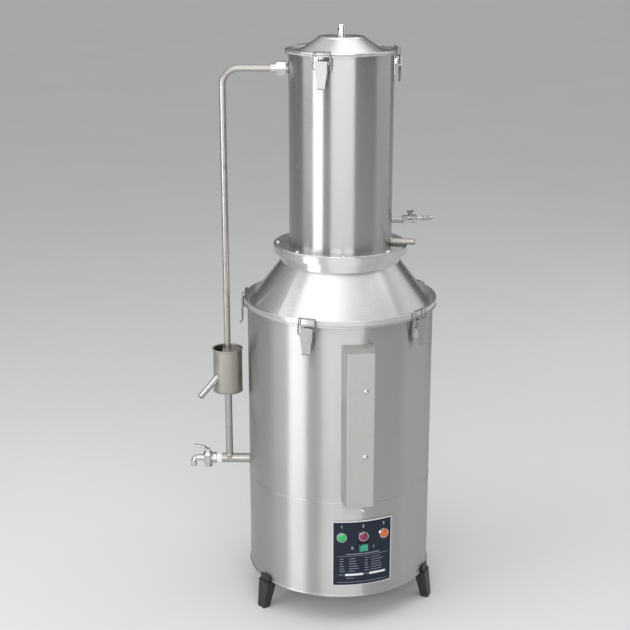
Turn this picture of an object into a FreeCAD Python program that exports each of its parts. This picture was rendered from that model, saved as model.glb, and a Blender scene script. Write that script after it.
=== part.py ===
# Electric water still: a steel boiler on a base shell, a cone hood, a column condenser under a
# clamped lid, a level cup beside it, and a drain tap. All lengths are millimetres. The origin is
# on the boiler's axis at floor level, +Z is up, and the control panel's side faces -Y.
import FreeCAD, Part
import Sketcher
import math
import os
import re
from FreeCAD import Placement, Rotation, Vector

doc = FreeCAD.newDocument("WaterStill")
sheet = doc.addObject("Spreadsheet::Sheet", "Sizes")

# The driving dimensions. Azimuths are degrees from the front, positive towards +X.
SIZES = dict(
    # sheet metal and general fits
    sheet_wall=1.5, thin_wall=1.0, seat_gap=0.3, port_fit=0.2, pivot_fit=0.05, gasket_thick=2.0,
    edge_break=0.5,
    # boiler, base shell and their rims
    boiler_radius=170.0, foot_height=52.0, skirt_top=237.0, rim_top=580.0, hem_radius=2.5,
    spigot_depth=10.0, rim_reach=6.0, boiler_rim_height=12.0, boiler_port_radius=14.0,
    # hood
    hood_foot_radius=163.0, hood_neck_radius=108.0, hood_cone_top=647.0, tray_floor=664.0,
    tray_radius=121.0, tray_depth=14.0, base_depth=11.5,
    # condenser
    condenser_radius=92.5, condenser_top=1016.0, condenser_rim_reach=6.5, tube_sheet_low=697.0,
    tube_sheet_high=1000.0, tube_sheet_thick=2.0, tube_count=8, tube_radius=8.0,
    tube_circle=64.0, tube_overhang=5.0, riser_radius=23.0, screw_circle=112.5, screw_count=8,
    screw_start=-42.0,
    # lid
    lid_cone_radius=74.0, lid_crown_radius=42.0, lid_rise=21.1, lid_bead_radius=2.2,
    vent_radius=6.2, vent_bore=4.0, vent_rise=20.0, vent_hole_radius=2.2, vent_azimuth=-50.0,
    # dome screws, all of one kind
    screw_radius=2.5, screw_head_radius=4.8, screw_head_height=3.2, screw_length=16.0,
    collar_screw_length=16.0, screw_head_edge=0.7, screw_socket_flats=3.0, screw_socket_deep=1.4,
    # feet
    foot_wide_top=30.0, foot_wide_floor=21.0, foot_deep_top=22.0, foot_deep_floor=15.0,
    foot_splay=10.0, foot_lug_height=12.0, foot_round=2.5, foot_screw_inset=9.0,
    foot_boss_wide=16.0, foot_one=-52.0, foot_two=70.0, foot_three=190.0,
    # draw latches, measured out from the vessel's wall and down from the rim's top
    latch_plate_wide=16.0, latch_plate_thick=1.2, latch_plate_top=12.6, latch_plate_low=50.0,
    ear_thick=1.2, ear_span=18.4, ear_round=2.6,
    lever_pin_out=9.0, lever_pin_drop=17.5, lever_pin_radius=1.5, lever_wide=22.0, lever_tip_wide=14.0, lever_thick=1.2, lever_face_out=12.1,
    lever_top_drop=13.2, lever_length=45.0, lever_flange_in=5.2, lever_flange_length=17.5,
    bail_radius=1.25, bail_pin_out=8.5, bail_pin_drop=27.0, bail_half_foot=16.2,
    bail_half_head=14.6, bail_leg_out=9.3, bail_cross_out=5.0, bail_knee_rise=11.0,
    bail_knee_in=0.4, bail_foot_bend=2.4, bail_knee_bend=8.0, bail_leg_bend=2.6,
    bail_head_bend=2.0,
    lid_latch_count=3, lid_latch_azimuth=-19.0, lid_latch_turn=120.0,
    boiler_latch_count=5, boiler_latch_azimuth=-18.5, boiler_latch_turn=70.6,
    # cooling water return: pipe, union nut, level cup, overflow spout
    pipe_radius=6.0, pipe_wall=1.0, return_drop=27.0, return_reach=209.0, bend_radius=29.0,
    nut_flats=24.0, nut_length=17.0, nut_tail_radius=8.0, nut_tail_length=11.0, stub_reach=7.0,
    cup_radius=27.0, cup_drop=105.0, cup_tall=84.0, cup_lid_chord=9.0, return_stand=39.0,
    spout_stand=27.0, spout_length=46.0, spout_slope=38.0, spout_azimuth=-52.0,
    spout_radius=5.8, spout_boss=6.8,
    # feed pipe and drain tap
    feed_radius=9.0, feed_height=254.0, feed_overrun=25.0, riser_pipe_radius=6.8, weld_flare=3.0,
    tap_plug_out=16.0, tap_barrel_radius=7.5, tap_bore=4.0, tap_plug_radius=5.5,
    tap_plug_drop=12.0, tap_plug_rise=16.0, tap_handle_length=27.0, tap_handle_rise=7.0,
    tap_nose_out=34.0, tap_nose_bend=10.0, tap_nose_drop=6.0, tap_flats=19.0,
    tap_nut_flats=13.0, tap_nut_height=5.0,
    # cooling water inlet and distillate outlet
    inlet_azimuth=105.0, inlet_rise=49.0, inlet_radius=5.2, inlet_reach=123.0,
    valve_length=21.0, valve_flats=15.0, valve_bore=3.0, valve_plug_radius=3.4,
    valve_key_rise=17.0, valve_key_wide=12.0, barb_radius=4.0, barb_length=30.0,
    barb_bore=2.6,
    outlet_azimuth=78.0, outlet_rise=21.5, outlet_radius=5.5, outlet_reach=136.0,
    # heater cover and immersion heaters
    cover_azimuth=10.5, cover_reach=206.0, cover_low=247.0, cover_high=536.0, cover_drop=5.0,
    cover_wide=57.0, cover_face_wide=48.0, cover_wall=1.0, cover_screw_side=8.5,
    cover_screw_high=462.0, cover_screw_low=341.0, cover_tab_screw=222.0, cover_tab_turn=4.6,
    heater_count=3, heater_lowest=282.0, heater_step=45.0, heater_rod=4.0, heater_half=9.0,
    heater_length=250.0, heater_flange=18.0, heater_flange_thick=5.0, heater_stud=16.0,
    # control panel, pilot lamps and rocker switch
    panel_azimuth=15.1, panel_half_angle=18.8, panel_low=76.0, panel_high=204.0,
    panel_thick=0.8, glue_thick=0.1, lamp_step=13.2, lamp_height=173.0, lamp_barrel=8.0, lamp_bezel=10.2,
    lamp_bezel_rise=3.6, lamp_lens=7.8, lamp_lens_rise=6.5, lamp_depth=28.0,
    rocker_height=150.5, rocker_wide=21.0, rocker_tall=18.0, rocker_body_wide=18.6,
    rocker_body_tall=15.4, rocker_rim=2.0, rocker_rise=2.6, rocker_depth=16.0,
    rocker_key_wide=15.6, rocker_key_tall=12.4, rocker_tilt=9.0,
    # inside and under the base
    plate_level=58.0, plate_lip=14.0, air_slot_count=8, air_slot_near=70.0, air_slot_far=120.0,
    air_slot_half=3.0, gland_azimuth=172.0, gland_height=92.0,
    gland_bore=4.2, gland_flats=22.0, gland_thread=8.0, terminal_near=60.0, terminal_long=72.0,
    terminal_deep=30.0, terminal_tall=24.0,
)
# Levels and reaches that follow from the sizes above
FOLLOWING = dict(
    lid_crown_height="condenser_top + sheet_wall + gasket_thick + 2 * lid_bead_radius + lid_rise",
    vent_top="lid_crown_height + vent_rise",
    foot_screw_out="boiler_radius - foot_screw_inset",
    return_height="condenser_top - return_drop",
    inlet_height="tray_floor + inlet_rise",
    outlet_height="tray_floor + outlet_rise",
    cup_top="rim_top - cup_drop",
    cup_floor="cup_top - cup_tall",
    return_end="cup_floor + return_stand",
    spout_height="cup_floor + spout_stand",
    feed_reach="return_reach + feed_overrun",
    tap_plug_reach="feed_reach + tap_plug_out",
    tap_nose_reach="feed_reach + tap_nose_out",
)
entries = [(name, repr(value)) for name, value in SIZES.items()]
entries += [(name, "=" + rule) for name, rule in FOLLOWING.items()]
for row, (name, content) in enumerate(entries, start=1):
    sheet.set("A%d" % row, name)
    sheet.set("B%d" % row, content)
    sheet.setAlias("B%d" % row, name)
doc.recompute()

# Levels that several pieces share
BASE_TOP = "(tray_floor + sheet_wall + gasket_thick + base_depth)"
LID_RIM_TOP = "(condenser_top + sheet_wall + gasket_thick + 2 * lid_bead_radius)"

NODES = []


def size(text):
    """Value of a size, or of an expression of sizes."""
    value = sheet.evalExpression(str(text))
    return float(getattr(value, "Value", value))


def bound(text):
    """The same expression with every size name pointing at its cell."""
    return re.sub(r"[a-z][a-z_]*", lambda hit: "Sizes." + hit.group(0)
                  if hit.group(0) in SIZES or hit.group(0) in FOLLOWING else hit.group(0),
                  str(text))


def bind(thing, **sizes):
    """Bind properties of an object to expressions of sizes."""
    for name, text in sizes.items():
        thing.setExpression(name, bound(text))


def turned(azimuth, height=0.0, out=0.0):
    """Place local +X outwards at an azimuth, at a height and a distance from the axis."""
    spin = Rotation(Vector(0, 0, 1), azimuth - 90.0)
    return Placement(spin.multVec(Vector(out, 0, 0)) + Vector(0, 0, height), spin)


def new_body(label, placement=Placement(), node=True):
    body = doc.addObject("PartDesign::Body", label)
    body.Label = label
    body.Placement = placement
    if node:
        NODES.append(body)
    return body


def new_sketch(body, plane="XZ", lift=None, along=None):
    """Sketch on one of the body's origin planes, lifted off it or moved along its own x."""
    sketch = body.newObject("Sketcher::SketchObject", body.Name + "_sketch")
    origin = [f for f in body.Origin.OriginFeatures if f.Role == plane + "_Plane"][0]
    sketch.AttachmentSupport = [(origin, "")]
    sketch.MapMode = "FlatFace"
    if lift is not None:
        sketch.setExpression("AttachmentOffset.Base.z", bound(lift))
    if along is not None:
        sketch.setExpression("AttachmentOffset.Base.x", bound(along))
    return sketch


def pin_point(sketch, curve, end, x, y):
    """Hold one point of a sketch at bound coordinates."""
    for kind, text in (("DistanceX", x), ("DistanceY", y)):
        index = sketch.addConstraint(Sketcher.Constraint(kind, -1, 1, curve, end, size(text)))
        sketch.setExpression("Constraints[%d]" % index, bound(text))


def draw(sketch, corners, closed=True):
    """Draw an outline or an open route. A corner is (x, y), or (x, y, r) where an arc of radius
    r leads on to the next corner, turning left for a positive r and right for a negative one."""
    points = [Vector(size(corner[0]), size(corner[1]), 0) for corner in corners]
    count = len(points) if closed else len(points) - 1
    ends = []
    for index in range(count):
        start, stop = points[index], points[(index + 1) % len(points)]
        if len(corners[index]) == 2:
            curve = sketch.addGeometry(Part.LineSegment(start, stop))
            ends.append((curve, 1, 2))
            continue
        text = corners[index][2]
        radius = size(text)
        chord = stop - start
        side = Vector(-chord.y, chord.x, 0).normalize() * math.copysign(1.0, radius)
        rise = math.sqrt(max(radius ** 2 - (chord.Length / 2.0) ** 2, 0.0))
        centre = (start + stop) * 0.5 + side * rise
        first, last = (start, stop) if radius > 0 else (stop, start)
        turn = [math.atan2(p.y - centre.y, p.x - centre.x) for p in (first, last)]
        circle = Part.Circle(centre, Vector(0, 0, 1), abs(radius))
        curve = sketch.addGeometry(Part.ArcOfCircle(circle, turn[0], turn[1]))
        ends.append((curve, 1, 2) if radius > 0 else (curve, 2, 1))
        held = sketch.addConstraint(Sketcher.Constraint("Radius", curve, abs(radius)))
        sketch.setExpression("Constraints[%d]" % held, "abs(%s)" % bound(text))
    for index in range(count if closed else count - 1):
        near, far = ends[index], ends[(index + 1) % count]
        sketch.addConstraint(Sketcher.Constraint("Coincident", near[0], near[2], far[0], far[1]))
    for index in range(count):
        pin_point(sketch, ends[index][0], ends[index][1], corners[index][0], corners[index][1])
    if not closed:
        pin_point(sketch, ends[-1][0], ends[-1][2], corners[-1][0], corners[-1][1])
    return sketch


def circle(sketch, x, y, radius):
    curve = sketch.addGeometry(Part.Circle(Vector(size(x), size(y), 0), Vector(0, 0, 1),
                                           size(radius)))
    pin_point(sketch, curve, 3, x, y)
    held = sketch.addConstraint(Sketcher.Constraint("Radius", curve, size(radius)))
    sketch.setExpression("Constraints[%d]" % held, bound(radius))
    return sketch


def rectangle(sketch, left, right, low, high):
    return draw(sketch, [(left, low), (right, low), (right, high), (left, high)])


def rounded_rectangle(sketch, left, right, low, high, radius):
    return draw(sketch, [
        ("%s + %s" % (left, radius), low), ("%s - %s" % (right, radius), low, radius),
        (right, "%s + %s" % (low, radius)), (right, "%s - %s" % (high, radius), radius),
        ("%s - %s" % (right, radius), high), ("%s + %s" % (left, radius), high, radius),
        (left, "%s - %s" % (high, radius)), (left, "%s + %s" % (low, radius), radius)])


def hexagon(sketch, flats):
    """Hexagon about the sketch's origin, with two flats level."""
    side = "%s / sqrt(3)" % flats
    half = "%s / 2" % side
    up, down = "%s / 2" % flats, "-%s / 2" % flats
    return draw(sketch, [(side, 0), (half, up), ("-" + half, up), ("-" + side, 0),
                         ("-" + half, down), (half, down)])


def revolve(body, sketch, axis="V_Axis", cut=False):
    kind = "Groove" if cut else "Revolution"
    feature = body.newObject("PartDesign::" + kind, body.Name + "_" + kind.lower())
    feature.Profile = sketch
    feature.ReferenceAxis = (sketch, [axis])
    feature.Angle = 360
    return feature


def extrude(body, sketch, length, middle=False, cut=False, back=False):
    """Pad or pocket a sketch, one way or evenly to both sides of its plane."""
    kind = "Pocket" if cut else "Pad"
    feature = body.newObject("PartDesign::" + kind, body.Name + "_" + kind.lower())
    feature.Profile = sketch
    feature.SideType = "Symmetric" if middle else "One side"
    feature.Reversed = back
    bind(feature, Length=length)
    return feature


def sweep(body, section, path, cut=False):
    kind = "SubtractivePipe" if cut else "AdditivePipe"
    feature = body.newObject("PartDesign::" + kind, body.Name + "_pipe")
    feature.Profile = section
    feature.Spine = (path, [])
    feature.Mode = "Frenet"
    return feature


def soften(body, feature, radius, chosen, kind="Fillet"):
    """Round or chamfer the edges of a feature that a test picks."""
    doc.recompute()
    names = ["Edge%d" % (n + 1) for n, edge in enumerate(feature.Shape.Edges) if chosen(edge)]
    blend = body.newObject("PartDesign::" + kind, body.Name + "_" + kind.lower())
    blend.Base = (feature, names)
    bind(blend, **{"Radius" if kind == "Fillet" else "Size": radius})
    return blend


def around(body, feature, axis, count):
    """Repeat a feature evenly round an axis of its sketch."""
    ring = body.newObject("PartDesign::PolarPattern", body.Name + "_ring")
    ring.Originals = [feature]
    ring.Axis = (feature.Profile[0], [axis])
    ring.Angle = 360
    bind(ring, Occurrences=count)
    body.Tip = ring
    return ring


def group(label, solids):
    """One node of separate solids."""
    feature = doc.addObject("Part::Feature", label)
    feature.Label = label
    feature.Shape = Part.makeCompound(solids)
    NODES.append(feature)
    return feature


def solid_of(body):
    doc.recompute()
    return body.Shape


def copies(shape, places):
    """Copies of a shape at several placements."""
    made = []
    for place in places:
        copy = shape.copy()
        copy.Placement = place.multiply(shape.Placement)
        made.append(copy)
    return made


def ring_body(label, outline, azimuth=90.0, node=True):
    """Body turned about the vertical axis from one outline of (radius, height) corners."""
    body = new_body(label, turned(azimuth), node)
    revolve(body, draw(new_sketch(body), outline))
    return body


def screw_ring(body):
    """Holes for the collar's screws, from just under the tray, clear of the cone below it."""
    hole = circle(new_sketch(body, "XY", "tray_floor - thin_wall"), "screw_circle", 0,
                  "screw_radius")
    around(body, extrude(body, hole, "base_depth + gasket_thick + 4 * sheet_wall", cut=True,
                         back=True), "N_Axis", "screw_count")


def bead(body, radius, height, thick):
    """Rolled edge: a round bead turned about the vertical axis."""
    return revolve(body, circle(new_sketch(body), radius, height, thick))


def bored(label, base, ports, near, reach):
    """Cut round ports through a wall. Each port is (placement out from the axis, radius)."""
    for index, (place, radius) in enumerate(ports):
        drill = doc.addObject("Part::Cylinder", "%s_drill" % label)
        bind(drill, Radius=radius, Height=reach)
        out = Placement(Vector(size(near), 0, 0), Rotation(Vector(0, 1, 0), 90))
        drill.Placement = place.multiply(out)
        cut = doc.addObject("Part::Cut", "%s_cut" % label)
        cut.Base, cut.Tool = base, drill
        base = cut
    base.Label = label
    NODES.append(base)
    return base


# Base shell, its bottom plate and the feet

def base_skirt():
    """Rolled shell with a hem at the floor end, and ports for lamps, rocker, gland and tab."""
    body = new_body("base_shell", turned(size("panel_azimuth")), node=False)
    inner = "boiler_radius - sheet_wall"
    low = "foot_height + hem_radius"
    revolve(body, draw(new_sketch(body), [
        (inner, low), ("boiler_radius", low), ("boiler_radius", "skirt_top - edge_break"),
        ("boiler_radius - edge_break", "skirt_top"), (inner, "skirt_top")]))
    bead(body, "boiler_radius - sheet_wall / 2", low, "hem_radius")
    opening = new_sketch(body, "YZ", "boiler_radius / 2")
    rectangle(opening, "-rocker_body_wide / 2 - port_fit", "rocker_body_wide / 2 + port_fit",
              "rocker_height - rocker_body_tall / 2 - port_fit",
              "rocker_height + rocker_body_tall / 2 + port_fit")
    extrude(body, opening, "boiler_radius", cut=True, back=True)
    ports = [(turned(size("panel_azimuth + lamp_step * (%d)" % step), size("lamp_height")),
              "lamp_barrel + port_fit") for step in (-1, 0, 1)]
    ports.append((turned(size("gland_azimuth"), size("gland_height")),
                  "gland_thread + port_fit"))
    ports.append((turned(size("cover_azimuth + cover_tab_turn"), size("cover_tab_screw")),
                  "screw_radius"))
    bored("base_skirt", body, ports, "boiler_radius / 2", "boiler_radius")


def bottom_plate():
    """Dished plate inside the hem, with a turned-up lip, air slots and foot screw holes."""
    edge = "boiler_radius - sheet_wall - seat_gap"
    top = "plate_level + thin_wall"
    body = new_body("bottom_plate", turned(0))
    revolve(body, draw(new_sketch(body), [
        (0, "plate_level"), (edge, "plate_level"), (edge, "plate_level + plate_lip"),
        (edge + " - thin_wall", "plate_level + plate_lip"), (edge + " - thin_wall", top),
        (0, top)]))
    near, far, half = "air_slot_near", "air_slot_far", "air_slot_half"
    slot = draw(new_sketch(body, "XY", "plate_level"), [
        (near, "-" + half), (far, "-" + half, half), (far + " + " + half, 0, half),
        (far, half), (near, half, half), (near + " - " + half, 0, half)])
    around(body, extrude(body, slot, 4, middle=True, cut=True), "N_Axis", "air_slot_count")
    for azimuth in ("foot_one", "foot_two", "foot_three"):
        hole = new_sketch(body, "XY", "plate_level")
        circle(hole, "foot_screw_out * cos(%s)" % azimuth,
               "foot_screw_out * sin(%s)" % azimuth, "screw_radius")
        last = extrude(body, hole, 4, middle=True, cut=True)
    body.Tip = last


def foot(label, azimuth):
    """Splayed moulded leg with a lug outside the hem and a screw boss inside it."""
    body = new_body(label, turned(size(azimuth)))
    middle = "boiler_radius - 2"
    floor = rounded_rectangle(new_sketch(body, "XY"),
                              "%s + foot_splay - foot_deep_floor / 2" % middle,
                              "%s + foot_splay + foot_deep_floor / 2" % middle,
                              "-foot_wide_floor / 2", "foot_wide_floor / 2", "foot_round")
    head = rounded_rectangle(new_sketch(body, "XY", "foot_height"),
                             "%s - foot_deep_top / 2" % middle,
                             "%s + foot_deep_top / 2" % middle,
                             "-foot_wide_top / 2", "foot_wide_top / 2", "foot_round")
    leg = body.newObject("PartDesign::AdditiveLoft", body.Name + "_leg")
    leg.Profile = floor
    leg.Sections = [head]
    leg.Ruled = True
    hem_out = "boiler_radius - sheet_wall / 2 + hem_radius + seat_gap"
    outer = "%s + foot_deep_top / 2" % middle
    lug = draw(new_sketch(body), [
        (hem_out, "foot_height - 1"), (outer + " - foot_round", "foot_height - 1"),
        (outer + " - foot_round", "foot_height + 2"),
        (hem_out + " + 2.2", "foot_height + foot_lug_height"),
        (hem_out, "foot_height + foot_lug_height")])
    extrude(body, lug, "foot_wide_top - 6", middle=True)
    boss = rectangle(new_sketch(body), "%s - foot_deep_top / 2 + 0.5" % middle,
                     "boiler_radius - sheet_wall / 2 - hem_radius - seat_gap",
                     "foot_height - 1", "plate_level")
    extrude(body, boss, "foot_boss_wide", middle=True)
    bore = circle(new_sketch(body, "XY", "plate_level"), "foot_screw_out", 0, "screw_radius")
    extrude(body, bore, "screw_length", cut=True)


def dome_screw(name, length):
    """One dome-head screw with a hexagon socket, its head resting on the XY plane."""
    body = new_body(name, node=False)
    revolve(body, draw(new_sketch(body), [
        (0, "-" + length), ("screw_radius", "-" + length), ("screw_radius", 0),
        ("screw_head_radius", 0),
        ("screw_head_radius", "screw_head_edge", "screw_head_radius * 1.05"),
        (0, "screw_head_height")]))
    socket = new_sketch(body, "XY", "screw_head_height - screw_socket_deep")
    hexagon(socket, "screw_socket_flats")
    extrude(body, socket, "2 * screw_socket_deep", cut=True, back=True)
    return solid_of(body)


def dome_screws():
    """Dome-head screws of the feet and the heater cover, and the ones that bolt the collar."""
    places = []
    for azimuth in ("foot_one", "foot_two", "foot_three"):
        places.append(turned(size(azimuth), size("plate_level + thin_wall"),
                             size("foot_screw_out")))
    upright = Rotation(Vector(0, 1, 0), 90)
    side = size("cover_screw_side")
    for high in ("cover_screw_high", "cover_screw_low"):
        face = turned(size("cover_azimuth"), size(high))
        places.append(face.multiply(Placement(Vector(size("cover_reach"), side, 0), upright)))
    tab = turned(size("cover_azimuth + cover_tab_turn"), size("cover_tab_screw"))
    places.append(tab.multiply(Placement(Vector(size("boiler_radius"), 0, 0), upright)))
    count = int(size("screw_count"))
    collar = [turned(size("screw_start") + 360.0 * step / count, size(BASE_TOP),
                     size("screw_circle")) for step in range(count)]
    screws = copies(dome_screw("screw_master", "screw_length"), places)
    screws += copies(dome_screw("collar_screw_master", "collar_screw_length"), collar)
    group("dome_screws", screws)


# Boiler, hood and their gasket

def boiler_shell():
    """Boiler: flat floor over a spigot in the base, straight wall, rolled flange at the top."""
    wall = "boiler_radius - sheet_wall"
    spigot = wall + " - seat_gap"
    rim = "boiler_radius + rim_reach"
    under = "rim_top - boiler_rim_height"
    body = ring_body("boiler_vessel", [
        (0, "skirt_top + 4"), (spigot + " - sheet_wall", "skirt_top + 4"),
        (spigot + " - sheet_wall", "skirt_top - spigot_depth"),
        (spigot, "skirt_top - spigot_depth"), (spigot, "skirt_top"),
        ("boiler_radius - edge_break", "skirt_top"), ("boiler_radius", "skirt_top + edge_break"),
        ("boiler_radius", under), (rim, under), (rim, under + " + sheet_wall"),
        (wall, under + " + sheet_wall"), (wall, "skirt_top + 4 + sheet_wall"),
        (0, "skirt_top + 4 + sheet_wall")], node=False)
    ports = [(turned(-90, size("feed_height")), "feed_radius")]
    for step in range(int(size("heater_count"))):
        height = size("heater_lowest + heater_step * %d" % step)
        ports.append((turned(size("cover_azimuth"), height), "boiler_port_radius"))
    bored("boiler_shell", body, ports, "boiler_radius / 2", "boiler_radius")


def boiler_gasket():
    low = "rim_top - boiler_rim_height + sheet_wall"
    ring_body("boiler_gasket", [
        ("hood_foot_radius + 2", low), ("boiler_radius + rim_reach - 2", low),
        ("boiler_radius + rim_reach - 2", low + " + gasket_thick"),
        ("hood_foot_radius + 2", low + " + gasket_thick")])


def cone_hood():
    """Hood: flange with an upturned lip, cone, straight neck and a tray at the top."""
    low = "rim_top - boiler_rim_height + sheet_wall + gasket_thick"
    rim = "boiler_radius + rim_reach"
    tray = "tray_floor"
    body = ring_body("cone_hood", [
        ("hood_foot_radius - sheet_wall", low), (rim, low),
        (rim, "rim_top - sheet_wall / 2", "sheet_wall / 2 + 0.01"),
        (rim + " - sheet_wall", "rim_top - sheet_wall / 2"),
        (rim + " - sheet_wall", low + " + sheet_wall"),
        ("hood_foot_radius + 2", low + " + sheet_wall", -4),
        ("hood_foot_radius", low + " + 4"),
        ("hood_neck_radius", "hood_cone_top"), ("hood_neck_radius", tray),
        ("tray_radius", tray),
        ("tray_radius", "tray_floor + tray_depth - sheet_wall / 2", "sheet_wall / 2 + 0.01"),
        ("tray_radius - sheet_wall", "tray_floor + tray_depth - sheet_wall / 2"),
        ("tray_radius - sheet_wall", "tray_floor + sheet_wall"),
        ("hood_neck_radius - sheet_wall", "tray_floor + sheet_wall"),
        ("hood_neck_radius - sheet_wall", "hood_cone_top - 0.6"),
        ("hood_foot_radius - sheet_wall", low + " + 3.4")], size("screw_start"))
    screw_ring(body)


# Condenser

def collar_gasket():
    low = "tray_floor + sheet_wall"
    body = ring_body("collar_gasket", [
        ("hood_neck_radius", low), ("tray_radius - sheet_wall - seat_gap", low),
        ("tray_radius - sheet_wall - seat_gap", low + " + gasket_thick"),
        ("hood_neck_radius", low + " + gasket_thick")], size("screw_start"))
    screw_ring(body)


def condenser_base():
    """Shallow pan with a bolting ring inside the hood's tray; it carries shell and riser."""
    low = "tray_floor + sheet_wall + gasket_thick"
    edge = "tray_radius - sheet_wall - seat_gap"
    under = BASE_TOP + " - sheet_wall"
    body = ring_body("condenser_base", [
        ("riser_radius", under), ("screw_circle - 7", under), ("screw_circle - 7", low),
        (edge, low), (edge, under, "sheet_wall"), (edge + " - sheet_wall", BASE_TOP),
        ("riser_radius", BASE_TOP)], size("screw_start"))
    screw_ring(body)


def condenser_shell():
    """Column with a rolled flange at the top and a short stub for the return pipe."""
    wall = "condenser_radius - sheet_wall"
    rim = "condenser_radius + condenser_rim_reach - 1"
    top = "condenser_top + sheet_wall"
    body = ring_body("condenser_column", [
        (wall, BASE_TOP), ("condenser_radius", BASE_TOP),
        ("condenser_radius", "condenser_top"), (rim, "condenser_top"), (rim, top), (wall, top)],
        node=False)
    stub = doc.addObject("Part::Cylinder", "return_stub")
    bind(stub, Radius="nut_tail_radius", Height="stub_reach + sheet_wall / 2")
    stub.Placement = turned(-90, size("return_height")).multiply(Placement(
        Vector(size("condenser_radius - sheet_wall / 2"), 0, 0), Rotation(Vector(0, 1, 0), 90)))
    joined = doc.addObject("Part::Fuse", "column_with_stub")
    joined.Base, joined.Tool = body, stub
    ports = [(turned(-90, size("return_height")), "pipe_radius"),
             (turned(size("inlet_azimuth"), size("inlet_height")), "inlet_radius"),
             (turned(size("outlet_azimuth"), size("outlet_height")), "outlet_radius")]
    bored("condenser_shell", joined, ports, "condenser_radius / 2", "condenser_radius")


def tube_sheets():
    """Two round plates that hold the riser and the small condenser tubes."""
    body = new_body("sheet_master", node=False)
    edge = "condenser_radius - sheet_wall - port_fit"
    revolve(body, draw(new_sketch(body), [
        ("riser_radius", 0), (edge, 0), (edge, "tube_sheet_thick"),
        ("riser_radius", "tube_sheet_thick")]))
    hole = circle(new_sketch(body, "XY"), "tube_circle", 0, "tube_radius")
    around(body, extrude(body, hole, "4 * tube_sheet_thick", middle=True, cut=True), "N_Axis",
           "tube_count")
    heights = ("tube_sheet_low", "tube_sheet_high")
    group("tube_sheets", copies(solid_of(body), [turned(90, size(high)) for high in heights]))


def condenser_tubes():
    body = new_body("tube_master", node=False)
    low, high = "-tube_overhang", "tube_sheet_high - tube_sheet_low + tube_overhang"
    revolve(body, draw(new_sketch(body), [
        ("tube_radius - thin_wall", low), ("tube_radius", low), ("tube_radius", high),
        ("tube_radius - thin_wall", high)]))
    count = int(size("tube_count"))
    places = [turned(90 + 360.0 * step / count, size("tube_sheet_low"), size("tube_circle"))
              for step in range(count)]
    group("condenser_tubes", copies(solid_of(body), places))


def steam_riser():
    """Central steam pipe from the hood's neck to the space under the lid."""
    low, high = "tray_floor - 6", "tube_sheet_high + 12"
    flange = BASE_TOP + " - sheet_wall"
    ring_body("steam_riser", [
        ("riser_radius - thin_wall", low), ("riser_radius", low),
        ("riser_radius", flange + " - 2"), ("riser_radius + 9", flange + " - 2"),
        ("riser_radius + 9", flange), ("riser_radius", flange), ("riser_radius", high),
        ("riser_radius - thin_wall", high)])


# Lid

def lid_gasket():
    low = "condenser_top + sheet_wall"
    ring_body("lid_gasket", [
        ("condenser_radius - 3", low), ("condenser_radius + condenser_rim_reach - 3", low),
        ("condenser_radius + condenser_rim_reach - 3", low + " + gasket_thick"),
        ("condenser_radius - 3", low + " + gasket_thick")])


def lid():
    """Spun lid: beaded rim, flat ledge, low cone and crown, with the vent nipple welded on."""
    low = "condenser_top + sheet_wall + gasket_thick"
    ledge = low + " + sheet_wall"
    crown = "lid_crown_height"
    body = new_body("lid", turned(size("vent_azimuth")))
    revolve(body, draw(new_sketch(body), [
        ("lid_cone_radius - sheet_wall", low),
        ("condenser_radius + condenser_rim_reach - lid_bead_radius", low),
        ("condenser_radius + condenser_rim_reach - lid_bead_radius", ledge),
        ("lid_cone_radius", ledge), ("lid_crown_radius", crown + " - 3", 5),
        ("lid_crown_radius - 4", crown), ("vent_radius", crown),
        ("vent_radius", "vent_top - 1"), ("vent_radius - 1", "vent_top"), (0, "vent_top"),
        (0, "vent_top - 5"), ("vent_bore", "vent_top - 5"), ("vent_bore", crown + " - sheet_wall"),
        ("lid_crown_radius - 4", crown + " - sheet_wall", -5),
        ("lid_crown_radius - sheet_wall", crown + " - 4.2")]))
    bead(body, "condenser_radius + condenser_rim_reach - lid_bead_radius",
         low + " + lid_bead_radius", "lid_bead_radius")
    hole = circle(new_sketch(body, "YZ", 0), 0, "vent_top - 8.5", "vent_hole_radius")
    extrude(body, hole, "vent_radius + 2", cut=True, back=True)


# Draw latches: a plate with two ears, a lever on a pin, and a wire bail carried by the lever

def latch_place(vessel, azimuth):
    """Frame of one latch: +X out from the vessel's axis, z = 0 at the top of the rim."""
    return turned(azimuth, size(LID_RIM_TOP if vessel == "condenser_radius" else "rim_top"))


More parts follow.
